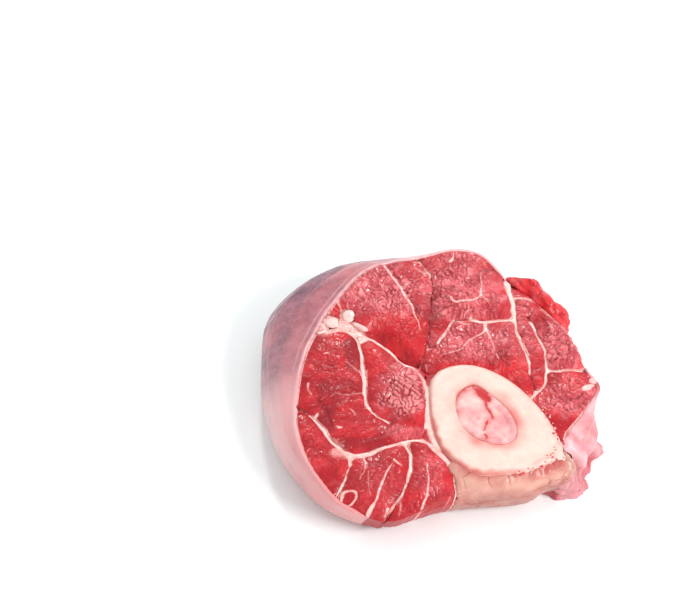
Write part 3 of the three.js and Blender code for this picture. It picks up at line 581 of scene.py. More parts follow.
def draw_map(lines):
    """A map of how far each place lies past the edge of the nearest line, up to a reach."""
    past = np.full((MAP_SIDE, MAP_SIDE), MAP_REACH)
    for widths, points in lines:
        curve = smooth_line(points, closed=False, steps=30)
        length = np.r_[0, np.cumsum(np.hypot(*np.diff(curve, axis=0).T))]
        share = np.arange(0, 1.0001, MAP_CELL / max(length[-1], MAP_CELL))
        xs = np.interp(share * length[-1], length, curve[:, 0])
        ys = np.interp(share * length[-1], length, curve[:, 1])
        half = np.interp(share, [0, 0.5, 1], widths) / 2
        for x, y, wide in zip(xs, ys, half):
            i = int((x + MAP_HALF) / MAP_CELL)
            j = int((y + MAP_HALF) / MAP_CELL)
            i0, i1 = max(i - MAP_CELLS_REACH, 0), min(i + MAP_CELLS_REACH, MAP_SIDE)
            j0, j1 = max(j - MAP_CELLS_REACH, 0), min(j + MAP_CELLS_REACH, MAP_SIDE)
            across = np.arange(i0, i1) * MAP_CELL - MAP_HALF - x
            up = np.arange(j0, j1) * MAP_CELL - MAP_HALF - y
            gap = np.hypot(across[:, None], up[None, :]) - LINE_SHARE * wide
            past[i0:i1, j0:j1] = np.minimum(past[i0:i1, j0:j1], gap)
    return past


def look_up(chart, x, y):
    u = np.clip((x + MAP_HALF) / MAP_CELL, 0, MAP_SIDE - 1.001)
    v = np.clip((y + MAP_HALF) / MAP_CELL, 0, MAP_SIDE - 1.001)
    i, j = u.astype(int), v.astype(int)
    s, t = u - i, v - j
    low = chart[i, j] * (1 - s) + chart[i + 1, j] * s
    high = chart[i, j + 1] * (1 - s) + chart[i + 1, j + 1] * s
    return low * (1 - t) + high * t


def laid_out(lines):
    return [(widths, from_face(points)) for widths, points in lines]


def ring_lines(rings):
    rows = []
    for x, y, radius, width in rings:
        turn = np.linspace(0, 2 * math.pi, 13)
        rows.append(((width,) * 3,
                     np.stack([x + radius * np.cos(turn), y + radius * np.sin(turn)], axis=1)))
    return rows


def fleck_lines(count, seed=7):
    """Short pale flecks that point away from the bone, scattered over the whole cut."""
    draw = np.random.default_rng(seed)
    rows = []
    while len(rows) < count:
        x, y = draw.uniform(-44, 46), draw.uniform(-48, 42)
        turn = math.atan2(y + 14, x + 4) + draw.normal(0, 0.6)
        length = draw.uniform(0.1, 1.15) ** 2
        width = draw.uniform(0.1, 0.26)
        step = 0.5 * length * np.array([math.cos(turn), math.sin(turn)])
        rows.append(((width * 0.6, width, width * 0.4), [(x, y) - step, (x, y), (x, y) + step]))
    return rows


fat_map = draw_map(laid_out(FAT_LINES + ring_lines(FAT_RINGS)))
crease_shade_map = draw_map(laid_out(SHADED_CREASES))
fleck_map = draw_map(fleck_lines(FLECKS))
print("lines", len(FAT_LINES), "of fat,", len(SHADED_CREASES), "dark,", FLECKS, "flecks")

# %% [markdown]
# ## A way to write materials
# A material is a graph of nodes. Written as nodes and links it is long, so a small class wraps a
# socket and turns sums into Math nodes, and one method adds any other node.

# %% The finish helper
def shade(code):
    """A colour as seen on a screen, in the linear numbers that shaders use."""
    parts = [int(code[i : i + 2], 16) / 255 for i in (0, 2, 4)]
    return tuple(c / 12.92 if c < 0.04045 else ((c + 0.055) / 1.055) ** 2.4 for c in parts) + (1,)


class Wire:
    """An output socket that can be summed and multiplied."""

    def __init__(self, finish, socket):
        self.finish = finish
        self.socket = socket

    def _math(self, operation, first, second):
        return self.finish.add("ShaderNodeMath", {"operation": operation}, {0: first, 1: second})

    def __add__(self, other):
        return self._math("ADD", self, other)

    def __radd__(self, other):
        return self._math("ADD", other, self)

    def __sub__(self, other):
        return self._math("SUBTRACT", self, other)

    def __rsub__(self, other):
        return self._math("SUBTRACT", other, self)

    def __mul__(self, other):
        return self._math("MULTIPLY", self, other)

    def __rmul__(self, other):
        return self._math("MULTIPLY", other, self)


class Finish:
    """A material in the making."""

    def __init__(self, name):
        self.material = bpy.data.materials.new(name)
        self.material.use_nodes = True
        self.material.node_tree.nodes.clear()
        self.where = self.add("ShaderNodeTexCoord", output="Object")

    def add(self, kind, settings=None, sockets=None, output=0):
        node = self.material.node_tree.nodes.new(kind)
        for key, value in (settings or {}).items():
            setattr(node, key, value)
        by_identifier = {socket.identifier: socket for socket in node.inputs}
        for key, value in (sockets or {}).items():
            socket = by_identifier[key] if key in by_identifier else node.inputs[key]
            if isinstance(value, Wire):
                self.material.node_tree.links.new(value.socket, socket)
            else:
                socket.default_value = value
        return Wire(self, node.outputs[output]) if node.outputs else node

    def kept(self, name):
        """A number that the mesh keeps for every vertex."""
        return self.add("ShaderNodeAttribute", {"attribute_name": name}, output="Fac")

    def noise(self, size, detail=2.0, roughness=0.5):
        sockets = {"Vector": self.where, "Scale": 1 / size, "Detail": detail, "Roughness": roughness}
        return self.add("ShaderNodeTexNoise", {}, sockets, "Fac")

    def step(self, value, low, high):
        """Zero below low, one above high, smooth between."""
        settings = {"interpolation_type": "SMOOTHSTEP"}
        return self.add("ShaderNodeMapRange", settings,
                        {"Value": value, "From Min": low, "From Max": high})

    def blend(self, factor, first, second, how="MIX"):
        settings = {"data_type": "RGBA", "blend_type": how}
        sockets = {"Factor_Float": factor, "A_Color": first, "B_Color": second}
        return self.add("ShaderNodeMix", settings, sockets, MIXED_COLOUR)

    def bump(self, height, strength, distance):
        sockets = {"Height": height, "Strength": strength, "Distance": distance}
        return self.add("ShaderNodeBump", {}, sockets)

    def surface(self, **sockets):
        named = {key.replace("_", " "): value for key, value in sockets.items()}
        body = self.add("ShaderNodeBsdfPrincipled", {}, named)
        self.add("ShaderNodeOutputMaterial", {}, {"Surface": body})
        return self.material


MIXED_COLOUR = 2                        # a Mix node's colour comes out of its third socket
print("finish helper ready")

# %% [markdown]
# ## Meat
# Fresh meat isn't one red. The bundles of fibres that stand up on the cut are pinker and paler,
# and the smooth parts a deeper red. The creases between the bundles are painted dark as shade,
# and the tops of the lobes get a painted highlight. Blood and water make it glossy, and light
# goes a millimetre or so into it, which softens every edge. The masks come from the mesh, and
# fine grain is added here.

# %% The meat's finish
def meat_finish():
    finish = Finish("meat")
    fat = finish.kept("fat")
    grain = finish.noise(0.7 * MM, 3, 0.65)
    mottle = (finish.kept("tone") * 0.7 + finish.step(grain, 0.3, 0.7) * 0.3
              + finish.noise(5 * MM, 3, 0.55) * 0.15)
    red = finish.blend(finish.step(mottle, 0.3, 1.0), shade("960e18"), shade("c62029"))
    pink = finish.blend(finish.step(mottle, 0.3, 1.0), shade("b43742"), shade("f3888e"))
    flesh = finish.blend(finish.kept("pale"), red, pink)
    flesh = finish.blend(finish.kept("blood"), flesh, shade("c8121a"))
    # The deep mask holds deeper red patches and painted shade beside and inside the cleft.
    flesh = finish.blend(finish.kept("deep"), flesh, shade("5f0a16"))
    # Painted shade: the crease mask darkens the cracks and the sunk creases.
    flesh = finish.blend(finish.kept("crease") * 0.72, flesh, shade("821625"))
    # The fleck mask holds pale flecks of fat and a painted highlight on the tops of lobes.
    flesh = finish.blend(finish.kept("fleck") * 0.6, flesh, shade("efa59f"))
    sinew = finish.blend(finish.step(grain, 0.3, 0.65), shade("eca29c"), shade("f6d0c9"))
    colour = finish.blend(fat, flesh, sinew)
    height = grain * 0.6 + finish.noise(0.35 * MM, 2, 0.5) * 0.4
    return finish.surface(
        Base_Color=colour,
        Roughness=0.44 - fat * 0.06,
        Normal=finish.bump(height, 0.35, 0.1 * MM),
        Subsurface_Weight=0.2,
        Subsurface_Radius=(1.0, 0.3, 0.22),
        Subsurface_Scale=0.8 * MM,
        Specular_IOR_Level=0.25,
        Coat_Weight=0.12 + finish.kept("pale") * 0.55,
        Coat_Roughness=0.1,
    )


meat = meat_finish()

# %% [markdown]
# ## Connective tissue, tendon, fat
# These are the pale parts: collagen and fat, pinkish where thin over the meat, creamy where
# thick. They differ only in their colours, so one function makes them all, each with a dark and
# a light tone and a third colour that a mask on the mesh brings in.

# %% Pale finishes
def pale_finish(name, dark, light, warm, cold="ffffff", coat=0.3, depth=1.0, relief=0.3):
    finish = Finish(name)
    grain = finish.noise(0.8 * MM, 3, 0.6)
    cloud = finish.noise(5 * MM, 3, 0.55)
    colour = finish.blend(finish.step(grain * 0.4 + cloud * 0.6, 0.35, 0.65), shade(dark), shade(light))
    colour = finish.blend(finish.kept("cold"), colour, shade(cold))
    colour = finish.blend(finish.kept("warm"), colour, shade(warm))
    return finish.surface(
        Base_Color=colour,
        Roughness=0.42,
        Normal=finish.bump(grain, relief, 0.1 * MM),
        Subsurface_Weight=0.25,
        Subsurface_Radius=(1.0, 0.5, 0.4),
        Subsurface_Scale=depth * MM,
        Specular_IOR_Level=0.35,
        Coat_Weight=coat,
        Coat_Roughness=0.2,
    )


# Its dark warm colour paints shade where a seam is only a crease and down in the open cleft.
connective = pale_finish("connective", "eba79f", "f5cfc8", "7c1220", "b8222c")
tendon = pale_finish("tendon", "e4b8b1", "efd3cd", "d58586", coat=0.4)
rind = pale_finish("rind", "9e5850", "ba7c70", "a83a38", "d2a090", coat=0.25)
membrane = pale_finish("membrane", "b06066", "cb8388", "b23640", "d69ea2", coat=0.12)
silver = pale_finish("silver_skin", "5e3246", "9f6576", "d87a7a", "e6bdbe", coat=0.35)
bone_finish = pale_finish("bone", "dcb9ad", "e4c6bb", "c0443c", "cc6c66", coat=0.05, relief=0.15)
marrow_finish = pale_finish("marrow", "cf8184", "dc9c9a", "b40a16", "e4bab4", coat=0.3)

# %% [markdown]
# ## The muscles
# A muscle on a sawn face is a field of fibre bundles. In some places they have shrunk and curled
# up, which gives packed lobes with cracks between them, painted dark as shade, in others the saw
# left them smooth.
# So the wrinkled patches are named by place, and the relief and the colours follow one mask.
# The flesh clings to the seams beside it, so its edge is drawn over to the nearest firm piece,
# apart from the deep cleft, which stands open.

# %% Patches and spots of the cut
WRINKLED = [
    # middle x, middle y, half length, half width, strength
    (-14, 26, 13, 12, 1.0),
    (9, 27, 16, 14, 0.8),
    (12, 8, 14, 8, 0.75),
    (27, 12, 6, 14, 0.6),
    (38, 6, 8, 11, 0.85),
    (-8, -9, 8.5, 10, 1.0),
    (40, -13, 8, 8, 0.85),
    (-9, -22.5, 9, 2.2, 0.5),
    (-1, -36, 5, 8, 0.35),
    (-17, -38, 8, 9, 0.12),
]
RUFFLED = [
    # wrinkled as well, but not pale
    (-6, 17, 7, 9, 0.6),
    (14, 1.5, 15, 6, 0.6),
    (28, -7, 6, 7, 0.55),
    (-25, -4, 12, 14, 0.26),
    (-34, -22, 7, 12, 0.22),
    (-12, -40, 16, 9, 0.3),
]
CURLED = [
    (-8, -10, 9, 10, 1.0),
    (3, 25, 5, 5, 0.8),
    (18, 30, 5, 5, 0.7),
]
# Darker patches: deeper red meat, and painted shade beside the cleft, at pits and along low creases.
DARK_RED_AND_SHADE = [
    (-17, 12, 5, 1.2, 0.25),
    (-23.4, 5, 2.6, 6.5, 0.5),
    (-27, -8, 7, 6, 0.3),
    (-30.5, -16, 3, 6, 0.35),
    (-22, -26, 9, 2, 0.3),
    (0.5, 19, 3, 7, 0.35),
    (21.5, 5, 3, 6, 0.35),
    (4.4, -31, 2.4, 5, 0.35),
    (-14, -40, 9, 9, 0.16),
]


BRIGHT_RED = [
    (-16.6, 2, 2.4, 6, 0.5),
    (-5.5, 11, 4, 7, 0.5),
    (-14, 15, 9, 5, 0.5),
    (-8, 8, 6, 4, 0.5),
    (22, -2.5, 4, 4, 0.5),
    (29, -8, 3.5, 4, 0.4),
    (41, -8, 4, 5, 0.4),
]
PADS = [
    (-30.6, 15.4, 3, 4.6, 0.85),
    (-27.6, 14.2, 4, 1.8, 0.8),
    (-22.4, 14.2, 4.2, 1.7, 0.75),
    (-21.2, 11.9, 2.6, 1.2, 0.7),
    (-26.4, -29, 3.4, 2.2, 0.5),
    (-1.2, -22.4, 1.6, 3.4, 0.6),
    (-40, -25, 1.6, 8, 0.3),
]


def spots(table, x, y, ragged=0.0):
    """How strongly places lie in any of a table's ovals."""
    total = np.zeros(len(x))
    for middle_x, middle_y, half_x, half_y, strength in table:
        far = np.hypot((x - middle_x) / half_x, (y - middle_y) / half_y) + ragged
        total = np.maximum(total, strength * (1 - smoothstep(far, 0.55, 1.15)))
    return total


MUSCLES = [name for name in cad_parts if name.startswith("muscle_")]
firm = surface_of(*[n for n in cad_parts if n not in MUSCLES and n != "loose_flap"])
sheets = surface_of("connective_sheets")
CLEFT = smooth_line([(-23, 12.4), (-19, 10.8), (-15.3, 8.3), (-12.7, 5.7), (-10.2, 2.8), (-7.3, 0.1),
                     (-4.4, -1.4), (-2, -2.6)], closed=False)


def near_cleft(x, y):
    """One beside the open cleft, fading to zero away from it and at its left end."""
    gap = np.full(len(x), 99.0)
    for point_x, point_y in CLEFT:
        gap = np.minimum(gap, np.hypot(x - point_x, y - point_y))
    return (1 - smoothstep(gap, 2.5, 5)) * smoothstep(x, -22, -16)


def close_gap(places, amount):
    """Move flesh up to the firm piece beside it, so that no dark gap shows."""
    away = nearest(firm, places, 5 * MM)
    gap = np.linalg.norm(away, axis=1)
    direction = away / np.maximum(gap, 1e-9)[:, None]
    pull = amount * (1 - smoothstep(gap / MM, 0.95 * amount, 2 * amount + 0.6)) * MM
    pull = np.minimum(pull, np.maximum(gap - 0.02 * MM, 0))
    return places + direction * pull[:, None], gap / MM


def drawn_over(places, tree, amount):
    """Places near another surface, moved up to it."""
    away = nearest(tree, places, 3 * amount * MM)
    gap = np.linalg.norm(away, axis=1)
    pull = amount * (1 - smoothstep(gap / MM, 0.95 * amount, 2 * amount)) * MM
    pull = np.minimum(pull, np.maximum(gap - 0.02 * MM, 0))
    return places + away * (pull / np.maximum(gap, 1e-9))[:, None]


CLEFT_DROP = 3.2


def slope_to_cleft(places, x, y, level):
    """The upper left muscle's face, rolled down towards the cleft."""
    gap = np.full(len(x), 99.0)
    for point_x, point_y in CLEFT:
        gap = np.minimum(gap, np.hypot(x - point_x, y - point_y))
    along = smoothstep(x, -22, -14)
    sunk = places.copy()
    sunk[:, 2] -= CLEFT_DROP * along * (1 - smoothstep(gap, 0.3, 6.5)) * smoothstep(level, 0.3, 0.95) * MM
    return sunk


def white_seam(x, y):
    """One where a seam shows white on the cut, zero where it is only a crease."""
    return 1 - smoothstep(look_up(fat_map, x, y), 0.3, 0.9)


def cut_relief(flat, wrinkle, curl):
    """Height in millimetres, crack share to paint shade in, lobe tone, and lobe tops to paint a highlight
    on, of cut meat.
    """
    warp = np.stack([soft_noise(flat, 4, 3), soft_noise(flat, 4, 4)], axis=1) * 1.3
    warp += np.stack([soft_noise(flat, 1.5, 5), soft_noise(flat, 1.5, 6)], axis=1) * 0.75
    edge, own = cell_noise((flat + warp) * (1, 0.72), 1.5, 11)
    small_edge, _ = cell_noise((flat + 0.7 * warp) * (0.8, 1), 0.95, 14)
    broken = 0.25 + 0.75 * smoothstep(soft_noise(flat, 1.9, 8), -0.35, 0.25)
    torn = smoothstep(soft_noise(flat, 1.7, 9), 0.0, 0.5)
    crack = np.maximum(np.exp(-((edge / 0.19) ** 2)) * broken,
                       0.6 * np.exp(-((small_edge / 0.12) ** 2)) * torn)
    crack *= 1 - curl
    winding = winding_noise(flat + warp * 0.6, 2.1, 13)
    crack = np.maximum(crack, curl * np.exp(-((winding / 0.3) ** 2)))
    lobe = ((own - 0.5) * 0.45 + 0.36) * (1 - np.exp(-edge / 0.3)) * (1 - curl)
    ridge = curl * (1 - np.exp(-np.abs(winding) / 0.5))
    lumps = 0.13 * soft_noise(flat, 3.1, 21) + 0.06 * soft_noise(flat, 1.3, 22)
    fine = 0.05 * soft_noise(flat, 0.55, 23)
    height = wrinkle * (lobe + 0.6 * ridge - 0.36 * crack) + 1.3 * lumps * (0.6 + 0.4 * wrinkle) + fine
    # Lobe and ridge tops, which get a painted highlight.
    top = wrinkle * np.maximum(smoothstep(ridge, 0.55, 0.95),
                               smoothstep(edge, 0.45, 0.9) * own * (1 - curl))
    return height, wrinkle * crack, own, top


def fibre_streaks(x, y):
    """Fine streaks that run away from the bone, where the saw smeared the fibres."""
    angle, distance = polar(x, y, np.array([-4.0, -14.0]))
    return soft_noise(np.stack([angle * 26, distance / 3.2], axis=1), 1, 61)


def dress_meat(name, mesh, places, shift_gap):
    """Relief and masks of one piece of meat."""
    normals = normals_of(mesh)
    x, y, level = layout(places)
    if name == "muscle_upper_left":
        places = slope_to_cleft(places, x, y, level)
    places, gap = close_gap(places, shift_gap(x, y))
    flat = np.stack([x, y], axis=1)
    seam = np.linalg.norm(nearest(sheets, places, 3 * MM), axis=1) / MM
    face = smoothstep(np.abs(normals[:, 2]), 0.15, 0.5)
    show = np.maximum(face, open_to_sight(places, normals) * 1.0)
    ragged = 0.25 * soft_noise(flat, 2.5, 71)
    cleft = near_cleft(x, y) * (name == "muscle_upper_left")
    side = (show - face).clip(0) * (1 - smoothstep(level, 0.93, 0.99))
    calm_red = 0.06 + 0.12 * smoothstep(soft_noise(flat, 5, 72), -0.3, 0.4)
    shrunk = spots(WRINKLED, x, y, ragged) * (1 - smoothstep(cleft, 0, 0.6)) * (1 - 0.8 * side)
    ruffled = np.maximum(calm_red, spots(RUFFLED, x, y, ragged) * (1 - smoothstep(cleft, 0, 0.6)))
    wrinkle = np.maximum(shrunk, ruffled * (1 - side))
    height, crack, own, top = cut_relief(flat, wrinkle, spots(CURLED, x, y, ragged))
    streaks = fibre_streaks(x, y)
    bone_gap = past_outline(x, y, bone_radius)
    calm = smoothstep(gap, 0.15, 1.2)
    rough_edge = 0.06 * soft_noise(flat, 0.9, 31)
    twig = 1 - smoothstep(look_up(fat_map, x, y) + rough_edge, -0.3, 0.12)
    # Painted shade along the creases, which are also sunk below.
    dark = 1 - smoothstep(look_up(crease_shade_map, x, y) + rough_edge, -0.2, 0.6)
    twig *= 1 - side
    dark *= 1 - side
    sinewy = places / MM * (1, 1, 0.22)
    fibres = 0.6 * soft_noise(sinewy, 1.5, 24) + 0.4 * soft_noise(sinewy, 0.7, 25)
    height = (height + 0.025 * streaks * (1 - wrinkle)) * (1 - twig) - 0.3 * dark
    height = height * (1 - side) + side * (0.16 * fibres + 0.3 * soft_noise(places / MM, 5, 26))
    places = places + normals * (height * calm * show * MM)[:, None]
    move_to(mesh, settle(places, x, y))
    beside = np.maximum(seam, 0) + rough_edge + 0.5 * cleft
    seam_fat = (1 - smoothstep(beside, 0.0, 0.35)) * white_seam(x, y)
    rim_fat = (1 - smoothstep(gap + 1.5 * rough_edge, 0.1, 0.7)) * (bone_gap > 1)
    pad = spots(PADS, x, y, 0.6 * ragged)
    film = side * smoothstep(soft_noise(places / MM * (1, 1, 0.6), 4.5, 27) + 0.3 * fibres, -0.1, 0.6)
    rim_fat = rim_fat * (1 - side) + 0.4 * film * smoothstep(y, -44, -28)
    fleck = 1 - smoothstep(look_up(fleck_map, x, y), -0.05, 0.1)
    note(mesh, "fat", np.clip(np.maximum.reduce([0.92 * twig, seam_fat, 0.75 * rim_fat, pad]), 0, 1))
    # Painted shade in the cracks between lobes and along the sunk creases.
    note(mesh, "crease", np.clip(crack * calm * (1 - twig) + 0.7 * dark * (1 - twig), 0, 1))
    note(mesh, "pale", np.clip(0.8 * shrunk + 0.1 * (wrinkle - shrunk) + 0.08 * streaks, 0, 1))
    tone = 0.28 * soft_noise(flat, 3.6, 41) + 0.35 * (own - 0.5) * wrinkle + 0.06 * streaks
    note(mesh, "tone", 0.5 + tone * (1 - side) + 0.2 * side * fibres)
    # Deeper red patches, some of them painted shade, and painted shade on the walls of the cleft.
    note(mesh, "deep", np.clip(spots(DARK_RED_AND_SHADE, x, y, ragged) + 0.5 * cleft * (1 - face), 0, 1))
    blood = 0.6 * (1 - smoothstep(bone_gap + 0.8 * ragged, 0.6, 2.6)) * smoothstep(y, -16, -4)
    note(mesh, "blood", np.maximum(blood, spots(BRIGHT_RED, x, y, ragged)))
    # Pale flecks of fat, and a painted highlight on the tops of lobes and ridges.
    note(mesh, "fleck", np.maximum(fleck * (1 - 0.4 * wrinkle), 0.55 * top) * (1 - twig))


def meat_gap(name):
    """How far each place of a muscle may be drawn over to its firm neighbour."""
    if name == "muscle_upper_left":
        return lambda x, y: 0.95 - 0.1 * near_cleft(x, y)
    if name == "muscle_left":
        return lambda x, y: 0.95 + 0.8 * near_cleft(x, y)
    return lambda x, y: 0.95 + 1.2 * (1 - smoothstep(np.hypot(x + 0.5, y + 3.5), 2.5, 5.5))


LARGE_MUSCLES = ("muscle_left", "muscle_upper_left")
LARGE_VOXEL = 0.458 * MM
for muscle in MUSCLES:
    muscle_mesh = split_open_faces(even_mesh(copy_of(muscle),
                                             LARGE_VOXEL if muscle in LARGE_MUSCLES else VOXEL))
    dress_meat(muscle, muscle_mesh, places_of(muscle_mesh), meat_gap(muscle))
    add_piece(muscle + "_meat", muscle_mesh, meat, "muscle", muscle)

# %% [markdown]
# ## The sheets between the muscles
# Thin sheets of connective tissue part the muscles. On the cut they show as pale seams. Their
# solids stand a hair below the face with a gap on both sides. Here their upper and lower edges
# are spread a little, so that they lie against the meat and flush with it.

# %% Connective sheets
def plain_piece(solid, voxel, smoothing):
    """Mesh, places, normals and layout of one solid's even copy."""
    mesh = even_mesh(copy_of(solid) if isinstance(solid, str) else solid, voxel, smoothing)
    places = places_of(mesh)
    return mesh, places, normals_of(mesh), *layout(places)


def relief_of(places, *layers):
    """Soft noise of several sizes, seeds and heights, in millimetres."""
    total = np.zeros(len(places))
    for size, seed, height in layers:
        total += height * soft_noise(places / MM, size, seed)
    return total


TENDON_BED = [(-33, 12.6, 0.9), (-31.6, 18.6, 1), (-28.6, 18.4, 1), (-27.8, 14.8, 1.2),
              (-24.6, 15.2, 1.2), (-21.4, 12.6, 0.9)]
SHEATH = [
    # x, y and radius of the soft tissue that lines the bone
    (6, 0.2, 0.5), (2.2, -1.5, 0.8), (-0.4, -4.6, 1.3), (-1.1, -9, 0.9),
    (-1.2, -13.5, 0.85), (-0.6, -22, 0.95),
    (2, -29.2, 0.95), (6.6, -34.6, 0.6),
]
SHEATH_DEPTH = 0.55
sheets_bmesh = copy_of("connective_sheets")
for x, y, radius in [*smooth_line(SHEATH, closed=False, steps=8), *TENDON_BED]:
    beads = bmesh.ops.create_icosphere(sheets_bmesh, subdivisions=2, radius=radius * MM)["verts"]
    middle = Vector((x + ORIGIN[0], y + ORIGIN[1], sawn_plane(x, y) - SHEATH_DEPTH - radius)) * MM
    bmesh.ops.translate(sheets_bmesh, vec=middle, verts=beads)
mesh, places, normals, x, y, level = plain_piece(sheets_bmesh, 0.5 * MM, 3)
edge = np.maximum(smoothstep(level, 0.86, 0.93), 1 - smoothstep(level, 0.03, 0.08))
white = white_seam(x, y)
spread = edge * (0.4 - 0.15 * white + 0.08 * soft_noise(np.stack([x, y], axis=1), 2.2, 81))
places[:, :2] += normals[:, :2] * (spread * MM)[:, None]
places[:, 2] -= 0.12 * MM * (1 - white) * smoothstep(level, 0.8, 0.93)
move_to(mesh, settle(places, x, y))
# Painted shade: darker where a seam is only a crease, and on the sheet below the face in the cleft.
note(mesh, "warm", np.maximum(0.3 * (1 - white), near_cleft(x, y) * (1 - smoothstep(level, 0.86, 0.93))))
note(mesh, "cold", 1 - white)
add_piece("connective_seams", mesh, connective, "connective", "connective_sheets")

# %% [markdown]
# ## Tendons
# A tendon is a cord of dense fibres, so the saw leaves a hard white button. They swell a little
# out of the soft tissue round them.

# %% Tendons
TENDON_CORNERS = {
    # corners seen from above, direction of the first in degrees, how far they and all stand out
    "tendon_round_outer": (2, 8, 0.55, 0.5),
    "tendon_round_inner": (2, 75, 0.3, 0.35),
    "tendon_flat": (2, -35, 0.3, 0.1),
}
TENDON_FLAT_LEVEL = 0.965
for name, (corners, first, stand_out, swell) in TENDON_CORNERS.items():
    mesh, places, normals, x, y, level = plain_piece(name, 0.26 * MM, 6)
    angle, distance = polar(x, y, np.array([x.mean(), y.mean()]))
    bulge = swell + stand_out * np.cos(corners * (angle - math.radians(first)))
    bulge += relief_of(places * (1, 1, 0.3), (2.6, 91, 0.15))
    places[:, :2] += ((smoothstep(distance, 0.3, 1.6) * bulge * MM)[:, None]
                      * np.stack([np.cos(angle), np.sin(angle)], axis=1))
    places[:, 2] -= 0.6 * np.maximum(level - TENDON_FLAT_LEVEL, 0) * sawn_plane(x, y) * MM
    places[:, 2] += (0.16 * MM) * soft_noise(places / MM, 1.8, 93) * smoothstep(level, 0.9, 1)
    move_to(mesh, settle(places, x, y))
    rosy = 0.5 * smoothstep(distance, 1.2, 2.2) + 0.35 * (name == "tendon_flat")
    note(mesh, "warm", np.clip(rosy + 0.3 * soft_noise(places / MM, 1.5, 94), 0, 0.7))
    note(mesh, "cold", np.zeros(len(x)))
    add_piece(name + "_button", mesh, tendon, "tendon", name)

# %% [markdown]
# ## Silvery skin
# A thin wet sleeve of fascia wraps the muscles. It is half clear: over deep red meat it looks
# mauve, and where fat lies under it, pale pink. So the colour follows the place on the slice,
# with cloudy patches, and the side away from the key lamp is painted paler as fill light.

# %% Silver skin
SKIN_LINING = 0.3


def lined_skin(amount):
    """The skin's solid with its inner wall moved in to the meat, so that it is thick enough to remesh."""
    bm = copy_of("silver_skin")
    bm.normal_update()
    moves = []
    for vert in bm.verts:
        inward = Vector(((CENTRE[0] + ORIGIN[0]) * MM, (CENTRE[1] + ORIGIN[1]) * MM, vert.co.z)) - vert.co
        inward.normalize()
        if vert.normal.dot(inward) > 0.3:
            moves.append((vert, inward * amount))
    for vert, move in moves:
        vert.co += move
    return bm


mesh, places, normals, x, y, level = plain_piece(lined_skin(SKIN_LINING * MM), 0.4 * MM, 8)
angle, distance = polar(x, y, CENTRE)
turn = np.degrees(np.mod(angle, 2 * math.pi))
skin_relief = relief_of(places, (9, 101, 0.22), (3.2, 102, 0.1), (1.1, 103, 0.04))
skin_relief *= 1 - smoothstep(level, 0.86, 0.93)
radial = normals.copy()
radial[:, 2] = 0
outward = smoothstep((radial * np.stack([np.cos(angle), np.sin(angle), 0 * x], axis=1)).sum(axis=1),
                     0.2, 0.6)
places += radial * (skin_relief * outward * MM)[:, None]
move_to(mesh, settle(places, x, y))
TWIST = np.array([[0.8, 0.5, 0.33], [-0.5, 0.86, -0.1], [-0.34, -0.08, 0.94]])
drift = np.stack([soft_noise(places @ TWIST / MM, 6, k) for k in (107, 108, 109)], axis=1)
cloudy = places @ TWIST / MM + 2.5 * drift
patches = soft_noise(cloudy, 9, 104) * 0.5 + soft_noise(cloudy, 3.4, 105) * 0.3
flat = places[:, :2] / MM - ORIGIN
beyond = past_outline(flat[:, 0], flat[:, 1], rim_radius, CENTRE)
beyond += 0.25 * soft_noise(flat, 2.6, 106)
upper_part = smoothstep(level, 0.8, 0.9)
rim_line = np.exp(-(((beyond + 0.1) / 0.65) ** 2)) + 0.6 * np.exp(-(((beyond - 1.9) / 0.35) ** 2))
rim_line = np.clip(rim_line + (1 - smoothstep(turn, 92, 112)) * (1 - smoothstep(beyond, 3, 5)),
                   0, 1) * upper_part
# Paler towards the left, partly the fat under the skin and partly painted fill light on the side away from
# the key lamp.
pale_tone_and_fill_light = 0.15 * smoothstep(turn, 140, 162) + 0.8 * smoothstep(turn, 165, 188) * (0.8 + 0.6 * patches)
note(mesh, "cold", np.clip(np.maximum(pale_tone_and_fill_light, 0.75 * rim_line), 0, 1))
pinker = smoothstep(turn, 195, 225) * 0.6 + 0.3 * upper_part + 0.8 * np.maximum(patches, 0)
note(mesh, "warm", np.clip(pinker, 0, 0.85) * (1 - 0.3 * rim_line))
add_piece("silver_skin_sleeve", mesh, silver, "silver_skin", "silver_skin")

# %% [markdown]
# ## Rind
# Under the bone lies a rind of firm fat, cut to a flat creamy wall with fine cracks.

# %% Rind under the bone
mesh, places, normals, x, y, level = plain_piece("rind_under_bone", 0.34 * MM, 5)
edge, own = cell_noise(places / MM * (1, 1, 1.6), 7, 111)
cracks = np.exp(-((edge / 0.28) ** 2)) * smoothstep(soft_noise(places / MM, 5, 112), 0.0, 0.5)
rind_relief = relief_of(places, (5, 113, 0.22), (1.7, 114, 0.1), (0.7, 115, 0.04)) - 0.25 * cracks
places += normals * (rind_relief * MM)[:, None]
skirt = smoothstep(x, 24, 38) * (1 - smoothstep(level, 0.3, 0.7))
places = drawn_over(places, surface_of("bone", "muscle_front_right"), 1.0)
places = drawn_over(places, surface_of("right_membrane"), 1.1)
move_to(mesh, settle(places, x, y))
note(mesh, "cold",
     np.clip(smoothstep(level, 0.55, 0.9) * (0.7 + 0.5 * soft_noise(places / MM, 3, 116)), 0, 1))
bone_gap = past_outline(x, y, bone_radius)
line = np.exp(-(((bone_gap - 0.5) / 0.9) ** 2)) * smoothstep(level, 0.78, 0.93)
pinker = np.maximum(0.35 * (1 - smoothstep(level, 0.05, 0.3)), 0.5 * skirt)
note(mesh, "warm", np.clip(0.95 * line + 0.5 * cracks + pinker, 0, 1))
add_piece("rind_wall", mesh, rind, "rind", "rind_under_bone")

# %% [markdown]
# ## Loose membrane
# On the right a loose film of fascia hangs off the cut in folds and gathers on the ground in a
# lumpy hem.

